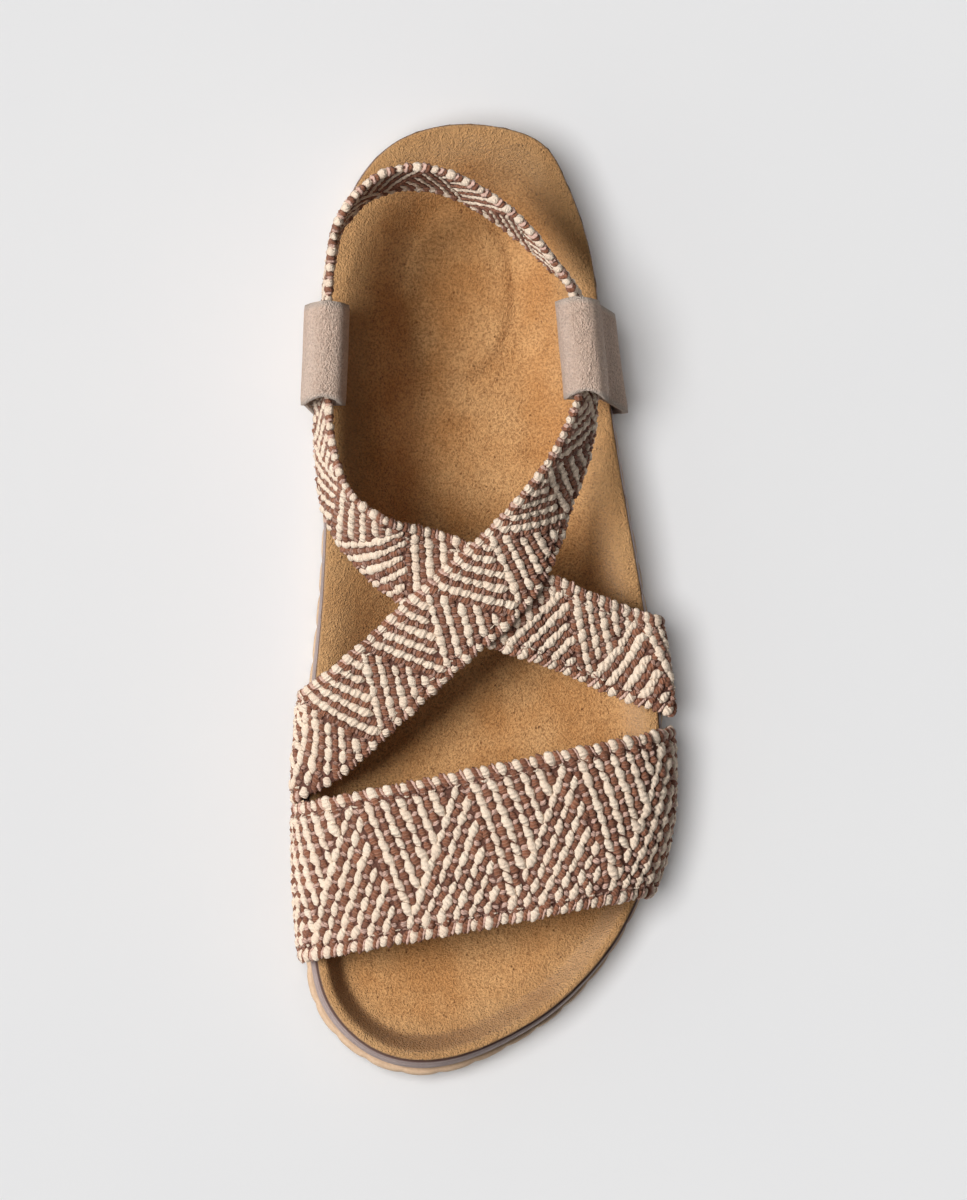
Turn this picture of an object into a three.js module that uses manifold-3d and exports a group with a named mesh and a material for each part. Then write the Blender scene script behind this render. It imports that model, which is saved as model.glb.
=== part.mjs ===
import * as THREE from 'three';
import { mergeVertices } from 'three/addons/utils/BufferGeometryUtils.js';
import Module from 'manifold-3d';

const wasm = await Module();
wasm.setup();

// Flat slingback sandal for the left foot, empty, standing on its sole. Millimetres, +Z up.
// The origin is on the floor under the middle of the heel. The toe points along -Y and the
// outer side of the foot is +X, so "medial" below is -X and "lateral" is +X.

// Driving dimensions of the sole
const FOOTBED_LENGTH = 248;
const FOOTBED_WIDTH = 92.6;
const HEEL_BACK = 33;
const BED_HEIGHT = 19;
const RIM_HEIGHT = 11;
const RIM_FLAT = 2.2;
const INSOLE_THICKNESS = 2;
const OUTSOLE_THICKNESS = 5;
const TOE_FLARE = 4;
const TOE_SPRING = 8;
const WAIST_LIFT = 1.5;
const HEEL_BEVEL = 2;

// Tread and side notches of the outsole
const TREAD_PITCH = 7.5;
const TREAD_WIDTH = 2.4;
const TREAD_DEPTH = 1.6;
const NOTCH_RADIUS = 3;
const NOTCH_DEPTH = 0.6;

// Woven straps and suede loops
const FRONT_STRAP_WIDTH = 40;
const FRONT_STRAP_RISE = 25;
const FRONT_STRAP_FALL = 5;
const TAPE_WIDTH = 23.5;
const TAPE_RISE = 31;
const STRAP_THICKNESS = 2.4;
const SEAM_BITE = 0.15;
const LOOP_LENGTH = 27;
const LOOP_THICKNESS = 1.4;
const LASTING_MARGIN = 10;

// Space left between pieces that touch, and round the tape inside a loop
const GAP = 0.3;
const LOOP_SIDE_ROOM = 3.4;
const LOOP_END_ROOM = 2.7;

const { lerp, clamp, degToRad, smoothstep } = THREE.MathUtils;
const MEDIAL = -1;
const LATERAL = 1;

// Sections of the sole, a row every 15 degrees of the angle that runs from the heel end (0) to
// the toe end (180). In the outline, medial and lateral are the edge's distances from the heel's
// centre line as shares of FOOTBED_WIDTH, and the flares say how far the sole's foot stands out
// past it as shares of TOE_FLARE.
const OUTLINE = [
  { medial: -0.004, lateral: 0.004, medialFlare: 0, lateralFlare: 0 },
  { medial: 0.188, lateral: 0.206, medialFlare: 0, lateralFlare: 0 },
  { medial: 0.313, lateral: 0.296, medialFlare: 0.05, lateralFlare: 0.05 },
  { medial: 0.377, lateral: 0.363, medialFlare: 0.1, lateralFlare: 0.1 },
  { medial: 0.386, lateral: 0.396, medialFlare: 0.15, lateralFlare: 0.15 },
  { medial: 0.392, lateral: 0.444, medialFlare: 0.15, lateralFlare: 0.2 },
  { medial: 0.406, lateral: 0.504, medialFlare: 0.25, lateralFlare: 0.25 },
  { medial: 0.435, lateral: 0.554, medialFlare: 0.4, lateralFlare: 0.3 },
  { medial: 0.446, lateral: 0.551, medialFlare: 0.6, lateralFlare: 0.4 },
  { medial: 0.435, lateral: 0.459, medialFlare: 0.6, lateralFlare: 0.28 },
  { medial: 0.396, lateral: 0.287, medialFlare: 0.92, lateralFlare: 0.55 },
  { medial: 0.281, lateral: 0.071, medialFlare: 0.97, lateralFlare: 0.8 },
  { medial: 0.121, lateral: -0.121, medialFlare: 1.05, lateralFlare: 1.05 },
];

// Sections of the footbed's top, at the same angles. bed is a share of BED_HEIGHT, the rims are
// shares of RIM_HEIGHT, and the slopes the width of a rim's inner side as shares of FOOTBED_WIDTH.
const FOOTBED = [
  { bed: 1, medialRim: 1, lateralRim: 1, medialSlope: 0.24, lateralSlope: 0.24 },
  { bed: 1, medialRim: 1, lateralRim: 1, medialSlope: 0.24, lateralSlope: 0.24 },
  { bed: 1, medialRim: 1, lateralRim: 1, medialSlope: 0.24, lateralSlope: 0.24 },
  { bed: 1, medialRim: 1.05, lateralRim: 0.98, medialSlope: 0.25, lateralSlope: 0.24 },
  { bed: 1, medialRim: 1.15, lateralRim: 0.95, medialSlope: 0.3, lateralSlope: 0.23 },
  { bed: 0.98, medialRim: 1.22, lateralRim: 0.92, medialSlope: 0.33, lateralSlope: 0.22 },
  { bed: 0.91, medialRim: 1.1, lateralRim: 0.85, medialSlope: 0.27, lateralSlope: 0.17 },
  { bed: 0.81, medialRim: 0.85, lateralRim: 0.75, medialSlope: 0.15, lateralSlope: 0.12 },
  { bed: 0.73, medialRim: 0.68, lateralRim: 0.66, medialSlope: 0.09, lateralSlope: 0.11 },
  { bed: 0.69, medialRim: 0.6, lateralRim: 0.6, medialSlope: 0.085, lateralSlope: 0.1 },
  { bed: 0.67, medialRim: 0.58, lateralRim: 0.58, medialSlope: 0.09, lateralSlope: 0.1 },
  { bed: 0.66, medialRim: 0.58, lateralRim: 0.58, medialSlope: 0.095, lateralSlope: 0.095 },
  { bed: 0.66, medialRim: 0.58, lateralRim: 0.58, medialSlope: 0.095, lateralSlope: 0.095 },
];

// Sides of the midsole and the outsole from the underside up. up is a share of the side's height,
// flare of the layer's flare and bulge of SIDE_BULGE.
const MIDSOLE_SIDE = [
  { up: 0, flare: 1, bulge: 0 },
  { up: 0.3, flare: 0.9, bulge: 1 },
  { up: 0.7, flare: 0.4, bulge: 1 },
  { up: 1, flare: 0, bulge: 0 },
];
const OUTSOLE_SIDE = [
  { up: 0, flare: 1, bulge: -4 },
  { up: 0.16, flare: 1, bulge: 0 },
  { up: 0.7, flare: 0.95, bulge: 1 },
  { up: 1, flare: 0.8, bulge: 1 },
];
const SIDE_BULGE = 0.2;
const MIDSOLE_FLARE = 0.58;

// Sections of the long elastic tape, from above the rim at the inner side of the ball, over the
// instep, through the lateral loop, round the heel, through the medial loop and under itself to
// the outer side. x is a share of FOOTBED_WIDTH, y of FOOTBED_LENGTH from the heel end and z of
// TAPE_RISE, above the bed of the heel. across is the plan direction from the lower to the upper
// edge and lean the tape's tilt from level, in degrees. width is a share of TAPE_WIDTH.
const TAPE_SECTIONS = [
  { x: -0.415, y: 0.652, z: 0.48, across: 112, lean: 8, width: 1.08 },
  { x: -0.31, y: 0.62, z: 0.63, across: 129, lean: 14, width: 1 },
  { x: -0.171, y: 0.572, z: 0.77, across: 132, lean: 18, width: 1 },
  { x: -0.065, y: 0.536, z: 0.9, across: 134, lean: 19, width: 1 },
  { x: 0.033, y: 0.504, z: 0.98, across: 137, lean: 16, width: 1 },
  { x: 0.119, y: 0.471, z: 1.03, across: 145, lean: 26, width: 1 },
  { x: 0.184, y: 0.433, z: 1.03, across: 158, lean: 42, width: 0.98 },
  { x: 0.244, y: 0.393, z: 1.02, across: 167, lean: 56, width: 0.95 },
  { x: 0.298, y: 0.355, z: 1, across: 172, lean: 64, width: 0.92 },
  { x: 0.329, y: 0.32, z: 1, across: 174, lean: 70, width: 0.88 },
  { x: 0.343, y: 0.293, z: 1, across: 176, lean: 76, width: 0.85 },
  { x: 0.331, y: 0.239, z: 1.02, across: 180, lean: 81, width: 0.84 },
  { x: 0.311, y: 0.182, z: 1.05, across: 185, lean: 86, width: 0.85 },
  { x: 0.248, y: 0.152, z: 1.11, across: 207, lean: 93, width: 0.92 },
  { x: 0.139, y: 0.109, z: 1.21, across: 227, lean: 99, width: 0.98 },
  { x: 0.009, y: 0.0755, z: 1.29, across: 240, lean: 101, width: 1 },
  { x: -0.076, y: 0.062, z: 1.32, across: 251, lean: 102, width: 1 },
  { x: -0.152, y: 0.0585, z: 1.32, across: 270, lean: 103, width: 1 },
  { x: -0.229, y: 0.0635, z: 1.31, across: 292, lean: 101, width: 1 },
  { x: -0.3, y: 0.08, z: 1.27, across: 317, lean: 97, width: 0.98 },
  { x: -0.361, y: 0.1105, z: 1.19, across: 339, lean: 93, width: 0.96 },
  { x: -0.383, y: 0.149, z: 1.1, across: 353, lean: 90, width: 0.9 },
  { x: -0.394, y: 0.189, z: 1.05, across: 358, lean: 88, width: 0.85 },
  { x: -0.4, y: 0.249, z: 1.02, across: 360, lean: 85, width: 0.84 },
  { x: -0.406, y: 0.306, z: 1, across: 362, lean: 81, width: 0.85 },
  { x: -0.399, y: 0.349, z: 1, across: 366, lean: 78, width: 0.9 },
  { x: -0.377, y: 0.39, z: 1.02, across: 377, lean: 72, width: 0.95 },
  { x: -0.338, y: 0.42, z: 1.03, across: 396, lean: 63, width: 1 },
  { x: -0.269, y: 0.446, z: 1.05, across: 412, lean: 52, width: 1 },
  { x: -0.179, y: 0.466, z: 1.03, across: 421, lean: 34, width: 1 },
  { x: -0.092, y: 0.48, z: 0.97, across: 424, lean: 22, width: 1 },
  { x: 0.036, y: 0.504, z: 0.9, across: 426, lean: 15, width: 1 },
  { x: 0.14, y: 0.518, z: 0.81, across: 429, lean: 16, width: 1 },
  { x: 0.24, y: 0.53, z: 0.69, across: 432, lean: 17, width: 1 },
  { x: 0.35, y: 0.548, z: 0.56, across: 437, lean: 17, width: 1 },
  { x: 0.45, y: 0.564, z: 0.44, across: 443, lean: 11, width: 1.02 },
];
const HEEL_SEAM_AT = 17;

// The instep that the tape lies on where it crosses itself: its place in the terms of the table,
// its slopes to the lateral side and to the heel, how much it arches across its width, and how far
// from the crossing the tape starts to leave it and is free of it, as shares of TAPE_WIDTH
const CROSSING = { x: 0.02, y: 0.506, z: 0.98 };
const INSTEP_SLOPE = { x: -0.08, y: 0.3 };
const INSTEP_ARCH = 0.55;
const INSTEP_HOLD = { full: 0.6, none: 1.3 };

// Section round a loop from its outer side over the top, and down its inner side back to the
// outer one. out and up are shares of its half width and half height, from the tape's middle.
const LOOP_OUTER = [
  { out: 1.08, up: -0.75 },
  { out: 1, up: -0.2 },
  { out: 0.98, up: 0.35 },
  { out: 0.88, up: 0.68 },
  { out: 0.58, up: 0.91 },
  { out: 0, up: 1 },
];
const LOOP_INNER = [
  { out: -0.58, up: 0.91 },
  { out: -0.88, up: 0.68 },
  { out: -0.98, up: 0.3 },
  { out: -0.98, up: -0.4 },
  { out: -0.84, up: -0.76 },
  { out: -0.35, up: -0.98 },
  { out: 0.35, up: -1.02 },
  { out: 1.02, up: -1.05 },
];

// Treaded stretches of the outsole, in shares of FOOTBED_LENGTH from the heel end
const TREAD_ZONES = [
  { from: 0.03, to: 0.36 },
  { from: 0.52, to: 0.97 },
];

// Where each strap stands on the side of the sole. at is a share of FOOTBED_LENGTH from the heel
// end, for the strap's middle, and spread a share of the strap's own width.
const FRONT_ANCHORS = {
  [MEDIAL]: { at: 0.809, spread: 1 },
  [LATERAL]: { at: 0.733, spread: 1.05 },
};
const TAPE_ANCHORS = {
  [MEDIAL]: { at: 0.665, spread: 1.22 },
  [LATERAL]: { at: 0.58, spread: 1.08 },
};
const LOOP_ANCHORS = {
  [MEDIAL]: { at: 0.25, spread: 1.1 },
  [LATERAL]: { at: 0.248, spread: 1.06 },
};

// Where the middle of each loop falls in the table of the tape's sections
const LOOP_SECTIONS = { [MEDIAL]: 23, [LATERAL]: 10.9 };

// Heights at which a strap's rows stand on the side of the sole, as shares of that side's height.
// off is how far the strap stands off it, as a share of the strap's thickness.
const FRONT_LEVELS = [
  { up: 0.82, off: 0.3 },
  { up: 0.52, off: 0.17 },
];
const TAPE_LEVELS = [
  { up: 1.26, off: 0.37 },
  { up: 0.89, off: 0.33 },
  { up: 0.52, off: 0.17 },
];
const LOOP_LEVELS = [
  { up: 0.99, off: 1.7 },
  { up: 0.52, off: 0.36 },
];

// Rows of a strap's turn under the midsole, in shares of the strap's thickness
const TUCK_ROWS = [
  { up: 1.1, off: 0 },
  { up: 0.42, off: -0.2 },
  { up: 0.06, off: -1.2 },
  { up: 0, off: -2.2 },
];

// A value from a table of rows at an even spacing, on a smooth curve through them.
function alongTable(rows, position, column, before = rows[0], after = rows.at(-1)) {
  const row = (i) => (i < 0 ? before : i >= rows.length ? after : rows[i])[column];
  const i = clamp(Math.floor(position), 0, rows.length - 2);
  const t = position - i;
  const [a, b, c, d] = [row(i - 1), row(i), row(i + 1), row(i + 2)];
  const square = 2 * a - 5 * b + 4 * c - d;
  const cube = 3 * b - a - 3 * c + d;
  return 0.5 * (2 * b + (c - a) * t + square * t ** 2 + cube * t ** 3);
}

// Outline of the footbed. The turn runs from 0 at the heel end over the lateral side to half a
// turn at the toe end, and back over the medial side.
const SECTION_ANGLE = Math.PI / (OUTLINE.length - 1);
const SOLE_MIDDLE = HEEL_BACK - FOOTBED_LENGTH / 2;
const TOE_END = HEEL_BACK - FOOTBED_LENGTH;

function edgeX(angle, side) {
  const mirrored = (row) => ({ medial: -row.lateral, lateral: -row.medial });
  const column = side === LATERAL ? 'lateral' : 'medial';
  const [before, after] = [OUTLINE[1], OUTLINE.at(-2)].map(mirrored);
  return side * alongTable(OUTLINE, angle / SECTION_ANGLE, column, before, after) * FOOTBED_WIDTH;
}

function outlinePoint(turn) {
  const wrapped = THREE.MathUtils.euclideanModulo(turn, 2 * Math.PI);
  const side = wrapped <= Math.PI ? LATERAL : MEDIAL;
  const angle = side === LATERAL ? wrapped : 2 * Math.PI - wrapped;
  return new THREE.Vector2(edgeX(angle, side), SOLE_MIDDLE + (FOOTBED_LENGTH / 2) * Math.cos(angle));
}

// A point at a distance outside the outline, measured square to it.
function offsetPoint(turn, distance) {
  const step = 0.01;
  const along = outlinePoint(turn + step).sub(outlinePoint(turn - step)).normalize();
  return outlinePoint(turn).add(new THREE.Vector2(-along.y, along.x).multiplyScalar(distance));
}

const angleAt = (y) => Math.acos(clamp((y - SOLE_MIDDLE) / (FOOTBED_LENGTH / 2), -1, 1));
const yAtShare = (share) => HEEL_BACK - share * FOOTBED_LENGTH;
const turnAt = (y, side) => (side === LATERAL ? angleAt(y) : 2 * Math.PI - angleAt(y));

function flareAt(turn) {
  const side = turn <= Math.PI ? 'lateralFlare' : 'medialFlare';
  const angle = turn <= Math.PI ? turn : 2 * Math.PI - turn;
  return TOE_FLARE * alongTable(OUTLINE, angle / SECTION_ANGLE, side);
}

const EDGE_STEPS = 240;
const EDGE_SAMPLES = Array.from({ length: EDGE_STEPS }, (_, i) =>
  outlinePoint((i / EDGE_STEPS) * 2 * Math.PI),
);

function distanceToEdge(x, y) {
  return Math.min(...EDGE_SAMPLES.map((p) => Math.hypot(p.x - x, p.y - y)));
}

// Underside of the sole: bevelled heel, raised waist and toe spring.
const SPRING_START = yAtShare(0.76);
const WAIST = { from: yAtShare(0.34), to: yAtShare(0.56) };
const BEVEL_START = yAtShare(0.07);

function groundZ(y) {
  const toe = Math.max(0, (SPRING_START - y) / (SPRING_START - TOE_END));
  const heel = Math.max(0, (y - BEVEL_START) / (HEEL_BACK - BEVEL_START));
  const waist = clamp((WAIST.from - y) / (WAIST.from - WAIST.to), 0, 1);
  return TOE_SPRING * toe ** 2 + HEEL_BEVEL * heel ** 2 + WAIST_LIFT * Math.sin(Math.PI * waist) ** 2;
}

// Top of the footbed: a bed with a raised rim whose inner side is a smooth slope.
function bedZ(x, y) {
  const angle = angleAt(y);
  const at = (column) => alongTable(FOOTBED, angle / SECTION_ANGLE, column);
  const medialX = edgeX(angle, MEDIAL);
  const lateralX = edgeX(angle, LATERAL);
  const side = smoothstep((x - medialX) / Math.max(lateralX - medialX, 1), 0, 1);
  const rim = RIM_HEIGHT * lerp(at('medialRim'), at('lateralRim'), side);
  const slope = FOOTBED_WIDTH * lerp(at('medialSlope'), at('lateralSlope'), side);
  const fall = smoothstep(distanceToEdge(x, y), RIM_FLAT, slope);
  return groundZ(y) + BED_HEIGHT * at('bed') + rim * (1 - fall);
}

// Collects triangles and joins them into one closed geometry.
class Surface {
  constructor() {
    this.points = [];
  }

  triangle(a, b, c) {
    this.points.push(a, b, c);
  }

  quad(a, b, c, d) {
    this.triangle(a, b, c);
    this.triangle(a, c, d);
  }

  geometry() {
    const merged = mergeVertices(new THREE.BufferGeometry().setFromPoints(this.points), 1e-3);
    merged.computeVertexNormals();
    return merged;
  }
}

// A layer of the sole: rings of points round its edge, and ends filled with rows of points from
// the medial to the lateral edge.
const SOLE_STEPS = 40;
const BED_COLUMNS = [0, 0.03, 0.08, 0.15, 0.24, 0.36, 0.5, 0.64, 0.76, 0.85, 0.92, 0.97, 1];
const FLAT_COLUMNS = [0, 0.25, 0.5, 0.75, 1];

function edgeRing(offset, height) {
  return Array.from({ length: 2 * SOLE_STEPS }, (_, i) => {
    const turn = (i / SOLE_STEPS) * Math.PI;
    const { x, y } = offsetPoint(turn, offset(turn));
    return new THREE.Vector3(x, y, height(x, y));
  });
}

function fillRing(surface, ring, columns, height, up) {
  const rows = Array.from({ length: SOLE_STEPS + 1 }, (_, i) => {
    const right = ring[i];
    const left = ring[(2 * SOLE_STEPS - i) % (2 * SOLE_STEPS)];
    return columns.map((share) => {
      if (share === 0) return left;
      if (share === 1) return right;
      const p = left.clone().lerp(right, share);
      if (left !== right) p.z = height(p.x, p.y);
      return p;
    });
  });
  rows.slice(1).forEach((row, i) =>
    row.slice(1).forEach((point, j) => {
      const [a, b, c, d] = [rows[i][j], row[j], point, rows[i][j + 1]];
      if (up) surface.quad(a, b, c, d);
      else surface.quad(c, b, a, d);
    }),
  );
}

// sides holds the rows of the layer's side, flare the distance of its foot past the outline, and
// under and top the column spacing and height of its two ends.
function soleLayer(sides, flare, under, top) {
  const rings = sides.map(({ up, flare: share, bulge }) =>
    edgeRing(
      (turn) => share * flare(turn) + bulge * SIDE_BULGE,
      (x, y) => lerp(under.height(x, y), top.height(x, y), up),
    ),
  );
  const surface = new Surface();
  rings.slice(1).forEach((ring, k) =>
    ring.forEach((point, i) => {
      const next = (i + 1) % ring.length;
      surface.quad(rings[k][i], point, ring[next], rings[k][next]);
    }),
  );
  fillRing(surface, rings[0], under.columns, under.height, false);
  fillRing(surface, rings.at(-1), top.columns, top.height, true);
  return surface.geometry();
}

// Booleans between closed geometries
function toSolid(geometry) {
  const bare = new THREE.BufferGeometry().setAttribute('position', geometry.getAttribute('position'));
  const merged = mergeVertices(bare.setIndex(geometry.index), 1e-3);
  return new wasm.Manifold(
    new wasm.Mesh({
      numProp: 3,
      vertProperties: merged.attributes.position.array,
      triVerts: new Uint32Array(merged.index.array),
    }),
  );
}

function toGeometry(solid) {
  const mesh = solid.getMesh();
  const geometry = new THREE.BufferGeometry();
  geometry.setAttribute('position', new THREE.BufferAttribute(mesh.vertProperties, 3));
  geometry.setIndex(new THREE.BufferAttribute(mesh.triVerts, 1));
  geometry.computeVertexNormals();
  return geometry;
}

// A strip around a surface. rows hold points of that surface, from end to end, each from its
// lower to its upper edge. front and back are how far its two faces lie off the surface, and
// edge is how much of that is left at the two edges.
function stripGeometry(rows, front, back = front, edge = 0.6) {
  const last = rows.length - 1;
  const columns = rows[0].length - 1;
  const normals = rows.map((row, i) =>
    row.map((_, j) => {
      const along = rows[Math.min(i + 1, last)][j].clone().sub(rows[Math.max(i - 1, 0)][j]);
      const across = row[Math.min(j + 1, columns)].clone().sub(row[Math.max(j - 1, 0)]);
      return along.cross(across).normalize();
    }),
  );
  const face = (distance) =>
    rows.map((row, i) =>
      row.map((point, j) => {
        const share = j === 0 || j === columns ? edge : 1;
        return point.clone().addScaledVector(normals[i][j], share * distance);
      }),
    );
  const outer = face(front);
  const inner = face(-back);
  const surface = new Surface();
  for (let i = 0; i < last; i++) {
    for (let j = 0; j < columns; j++) {
      surface.quad(outer[i][j], outer[i + 1][j], outer[i + 1][j + 1], outer[i][j + 1]);
      surface.quad(inner[i][j], inner[i][j + 1], inner[i + 1][j + 1], inner[i + 1][j]);
    }
    surface.quad(outer[i][0], inner[i][0], inner[i + 1][0], outer[i + 1][0]);
    surface.quad(outer[i][columns], outer[i + 1][columns], inner[i + 1][columns], inner[i][columns]);
  }
  for (let j = 0; j < columns; j++) {
    surface.quad(outer[0][j], outer[0][j + 1], inner[0][j + 1], inner[0][j]);
    surface.quad(outer[last][j], inner[last][j], inner[last][j + 1], outer[last][j + 1]);
  }
  return surface.geometry();
}

// Extra rows on a smooth curve between the rows given.
function smoothRows(rows, steps) {
  const curves = rows[0].map((_, j) => {
    const points = rows.map((row) => row[j]);
    return new THREE.CatmullRomCurve3(points, false, 'centripetal');
  });
  const count = (rows.length - 1) * steps;
  return Array.from({ length: count + 1 }, (_, i) => curves.map((curve) => curve.getPoint(i / count)));
}

// Sole

const midsoleUnder = (x, y) => groundZ(y) + OUTSOLE_THICKNESS + GAP;
const midsoleFlare = (turn) => MIDSOLE_FLARE * flareAt(turn);

function sideHeight(turn) {
  const { x, y } = outlinePoint(turn);
  return bedZ(x, y) - midsoleUnder(x, y);
}

function insoleGeometry() {
  const straight = [0, 1].map((up) => ({ up, flare: 0, bulge: 0 }));
  const under = { columns: BED_COLUMNS, height: (x, y) => bedZ(x, y) - INSOLE_THICKNESS };
  return soleLayer(straight, flareAt, under, { columns: BED_COLUMNS, height: bedZ });
}

function midsoleGeometry() {
  const under = { columns: FLAT_COLUMNS, height: midsoleUnder };
  const top = { columns: BED_COLUMNS, height: (x, y) => bedZ(x, y) - INSOLE_THICKNESS - GAP };
  const block = toSolid(soleLayer(MIDSOLE_SIDE, midsoleFlare, under, top));
  const pockets = [MEDIAL, LATERAL].flatMap((side) => [
    anchorPocket(side, FRONT_STRAP, STRAP_COLUMNS),
    anchorPocket(side, TAPE, STRAP_COLUMNS),
    anchorPocket(side, LOOP, LOOP_COLUMNS),
  ]);
  return toGeometry(pockets.reduce((solid, pocket) => solid.subtract(pocket), block));
}

function outsoleBody() {
  const under = { columns: FLAT_COLUMNS, height: (x, y) => groundZ(y) };
  const top = { columns: FLAT_COLUMNS, height: (x, y) => groundZ(y) + OUTSOLE_THICKNESS };
  return soleLayer(OUTSOLE_SIDE, flareAt, under, top);
}

// Grooves run across the tread under the heel and the forefoot, and every second one ends in a
// shallow notch up the side.
function outsoleGeometry() {
  let body = toSolid(outsoleBody());
  for (const { from, to } of TREAD_ZONES) {
    const count = Math.floor(((to - from) * FOOTBED_LENGTH) / TREAD_PITCH);
    for (let i = 0; i <= count; i++) {
      const y = yAtShare(from) - i * TREAD_PITCH;
      const slope = Math.atan2(groundZ(y + 1) - groundZ(y - 1), 2);
      const groove = new THREE.BoxGeometry(2 * FOOTBED_WIDTH, TREAD_WIDTH, 2 * TREAD_DEPTH);
      groove.rotateX(slope).translate(0, y, groundZ(y));
      body = body.subtract(toSolid(groove));
      if (i % 2) continue;
      for (const side of [MEDIAL, LATERAL]) {
        const turn = turnAt(y, side);
        const centre = offsetPoint(turn, flareAt(turn) + NOTCH_RADIUS - NOTCH_DEPTH);
        const notch = new THREE.CylinderGeometry(NOTCH_RADIUS, NOTCH_RADIUS, 4 * OUTSOLE_THICKNESS, 10);
        notch.rotateX(Math.PI / 2).translate(centre.x, centre.y, groundZ(y));
        body = body.subtract(toSolid(notch));
      }
    }
  }
  return toGeometry(body);
}

// Straps

// Rows down the side of the sole and under the midsole, from the free strap to the tucked end.
// strap holds the strap's width and thickness, its anchors and its levels on the sole's side.
function anchorRows(side, strap, columns, margin = LASTING_MARGIN) {
  const { width, thickness, anchors, levels } = strap;
  const { at, spread } = anchors[side];
  const reach = (share, off, height) => {
    const turn = turnAt(yAtShare(at) + (share - 0.5) * spread * width, side);
    const { x, y } = offsetPoint(turn, midsoleFlare(turn) + off);
    return new THREE.Vector3(x, y, midsoleUnder(x, y) + thickness / 2 + height(turn));
  };
  const standOff = (off) => GAP + (0.5 + off) * thickness;
  const rows = [
    ...levels.map(({ up, off }) => [standOff(off), (turn) => up * sideHeight(turn) - thickness / 2]),
    ...TUCK_ROWS.map(({ up, off }) => [standOff(off), () => up * thickness]),
    [-margin, () => 0],
  ];
  return rows.map(([off, height]) => columns.map((share) => reach(share, off, height)));
}

// The space that a strap's end takes out of the midsole, a little larger all round.
function anchorPocket(side, strap, columns) {
  const spread = GAP / strap.width;
  const wider = columns.map((share) => lerp(-2 * spread, 1 + 2 * spread, share));
  const rows = anchorRows(side, strap, wider, LASTING_MARGIN + GAP);
  const depth = strap.thickness / 2 + GAP;
  return toSolid(stripGeometry(side === LATERAL ? rows : rows.reverse(), 2 * depth, depth, 1));
}

const STRAP_COLUMNS = [0, 0.08, 0.35, 0.65, 0.92, 1];
const LOOP_COLUMNS = [0, 0.5, 1];
const STRAP = { thickness: STRAP_THICKNESS };
const FRONT_STRAP = { ...STRAP, width: FRONT_STRAP_WIDTH, anchors: FRONT_ANCHORS, levels: FRONT_LEVELS };
const TAPE = { ...STRAP, width: TAPE_WIDTH, anchors: TAPE_ANCHORS, levels: TAPE_LEVELS };
const LOOP = { width: LOOP_LENGTH, thickness: LOOP_THICKNESS, anchors: LOOP_ANCHORS, levels: LOOP_LEVELS };

// The front strap stands on the two sides and arches over the toes, lower towards the toe.
function frontStrapRows() {
  const [medial, lateral] = [MEDIAL, LATERAL].map((side) =>
    anchorRows(side, FRONT_STRAP, STRAP_COLUMNS),
  );
  const steps = 18;
  const squareness = 2.7;
  const arch = Array.from({ length: steps - 1 }, (_, i) => {
    const angle = (Math.PI * (i + 1)) / steps;
    const span = Math.sign(Math.cos(angle)) * Math.abs(Math.cos(angle)) ** (2 / squareness);
    const rise = Math.sin(angle) ** (2 / squareness);
    return STRAP_COLUMNS.map((share, j) => {
      const p = lateral[0][j].clone().lerp(medial[0][j], (1 - span) / 2);
      const crown = BED_HEIGHT + FRONT_STRAP_RISE - FRONT_STRAP_FALL * (1 - share);
      p.z = lerp(p.z, crown, rise);
      return p;
    });
  });
  return [...medial.reverse(), ...arch.reverse(), ...lateral];
}

function tapePlace({ x, y, z }) {
  return new THREE.Vector3(x * FOOTBED_WIDTH, yAtShare(y), BED_HEIGHT + z * TAPE_RISE);
}

function tapeRow(section) {
  const { across, lean, width } = section;
  const centre = tapePlace(section);
  const plan = degToRad(across);
  const tilt = degToRad(lean);
  const level = Math.cos(tilt);
  const up = new THREE.Vector3(Math.cos(plan) * level, Math.sin(plan) * level, Math.sin(tilt));
  const reach = width * TAPE_WIDTH;
  return STRAP_COLUMNS.map((share) => centre.clone().addScaledVector(up, (share - 0.5) * reach));
}

// Around the crossing both runs of the tape lie on one smooth instep, the under run deeper.
function onInstep(point, depth) {
  const crossing = tapePlace(CROSSING);
  const dx = point.x - crossing.x;
  const dy = point.y - crossing.y;
  const arch = (INSTEP_ARCH / FOOTBED_WIDTH) * dx ** 2;
  const instep = crossing.z + INSTEP_SLOPE.x * dx + INSTEP_SLOPE.y * dy - arch;
  const { full, none } = INSTEP_HOLD;
  const free = smoothstep(Math.hypot(dx, dy), full * TAPE_WIDTH, none * TAPE_WIDTH);
  return new THREE.Vector3(point.x, point.y, lerp(instep - depth, point.z, free));
}

// The whole tape from one tucked end to the other, and where the heel's middle falls in it.
function crossTapeRows() {
  const [medial, lateral] = [MEDIAL, LATERAL].map((side) =>
    anchorRows(side, TAPE, STRAP_COLUMNS),
  );
  const steps = 2;
  const rows = smoothRows([...medial.reverse(), ...TAPE_SECTIONS.map(tapeRow), ...lateral], steps);
  const heelRow = (medial.length + HEEL_SEAM_AT) * steps;
  const depth = (i) => (i > heelRow ? STRAP_THICKNESS - SEAM_BITE : 0);
  return { rows: rows.map((row, i) => row.map((point) => onInstep(point, depth(i)))), heelRow };
}

// The tape crosses itself on the instep, where it is sewn, so its two halves are joined.
function crossStrapGeometry({ rows, heelRow }) {
  const first = toSolid(stripGeometry(rows.slice(0, heelRow + 1), STRAP_THICKNESS / 2));
  const second = toSolid(stripGeometry(rows.slice(heelRow), STRAP_THICKNESS / 2));
  return toGeometry(first.add(second));
}

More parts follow.
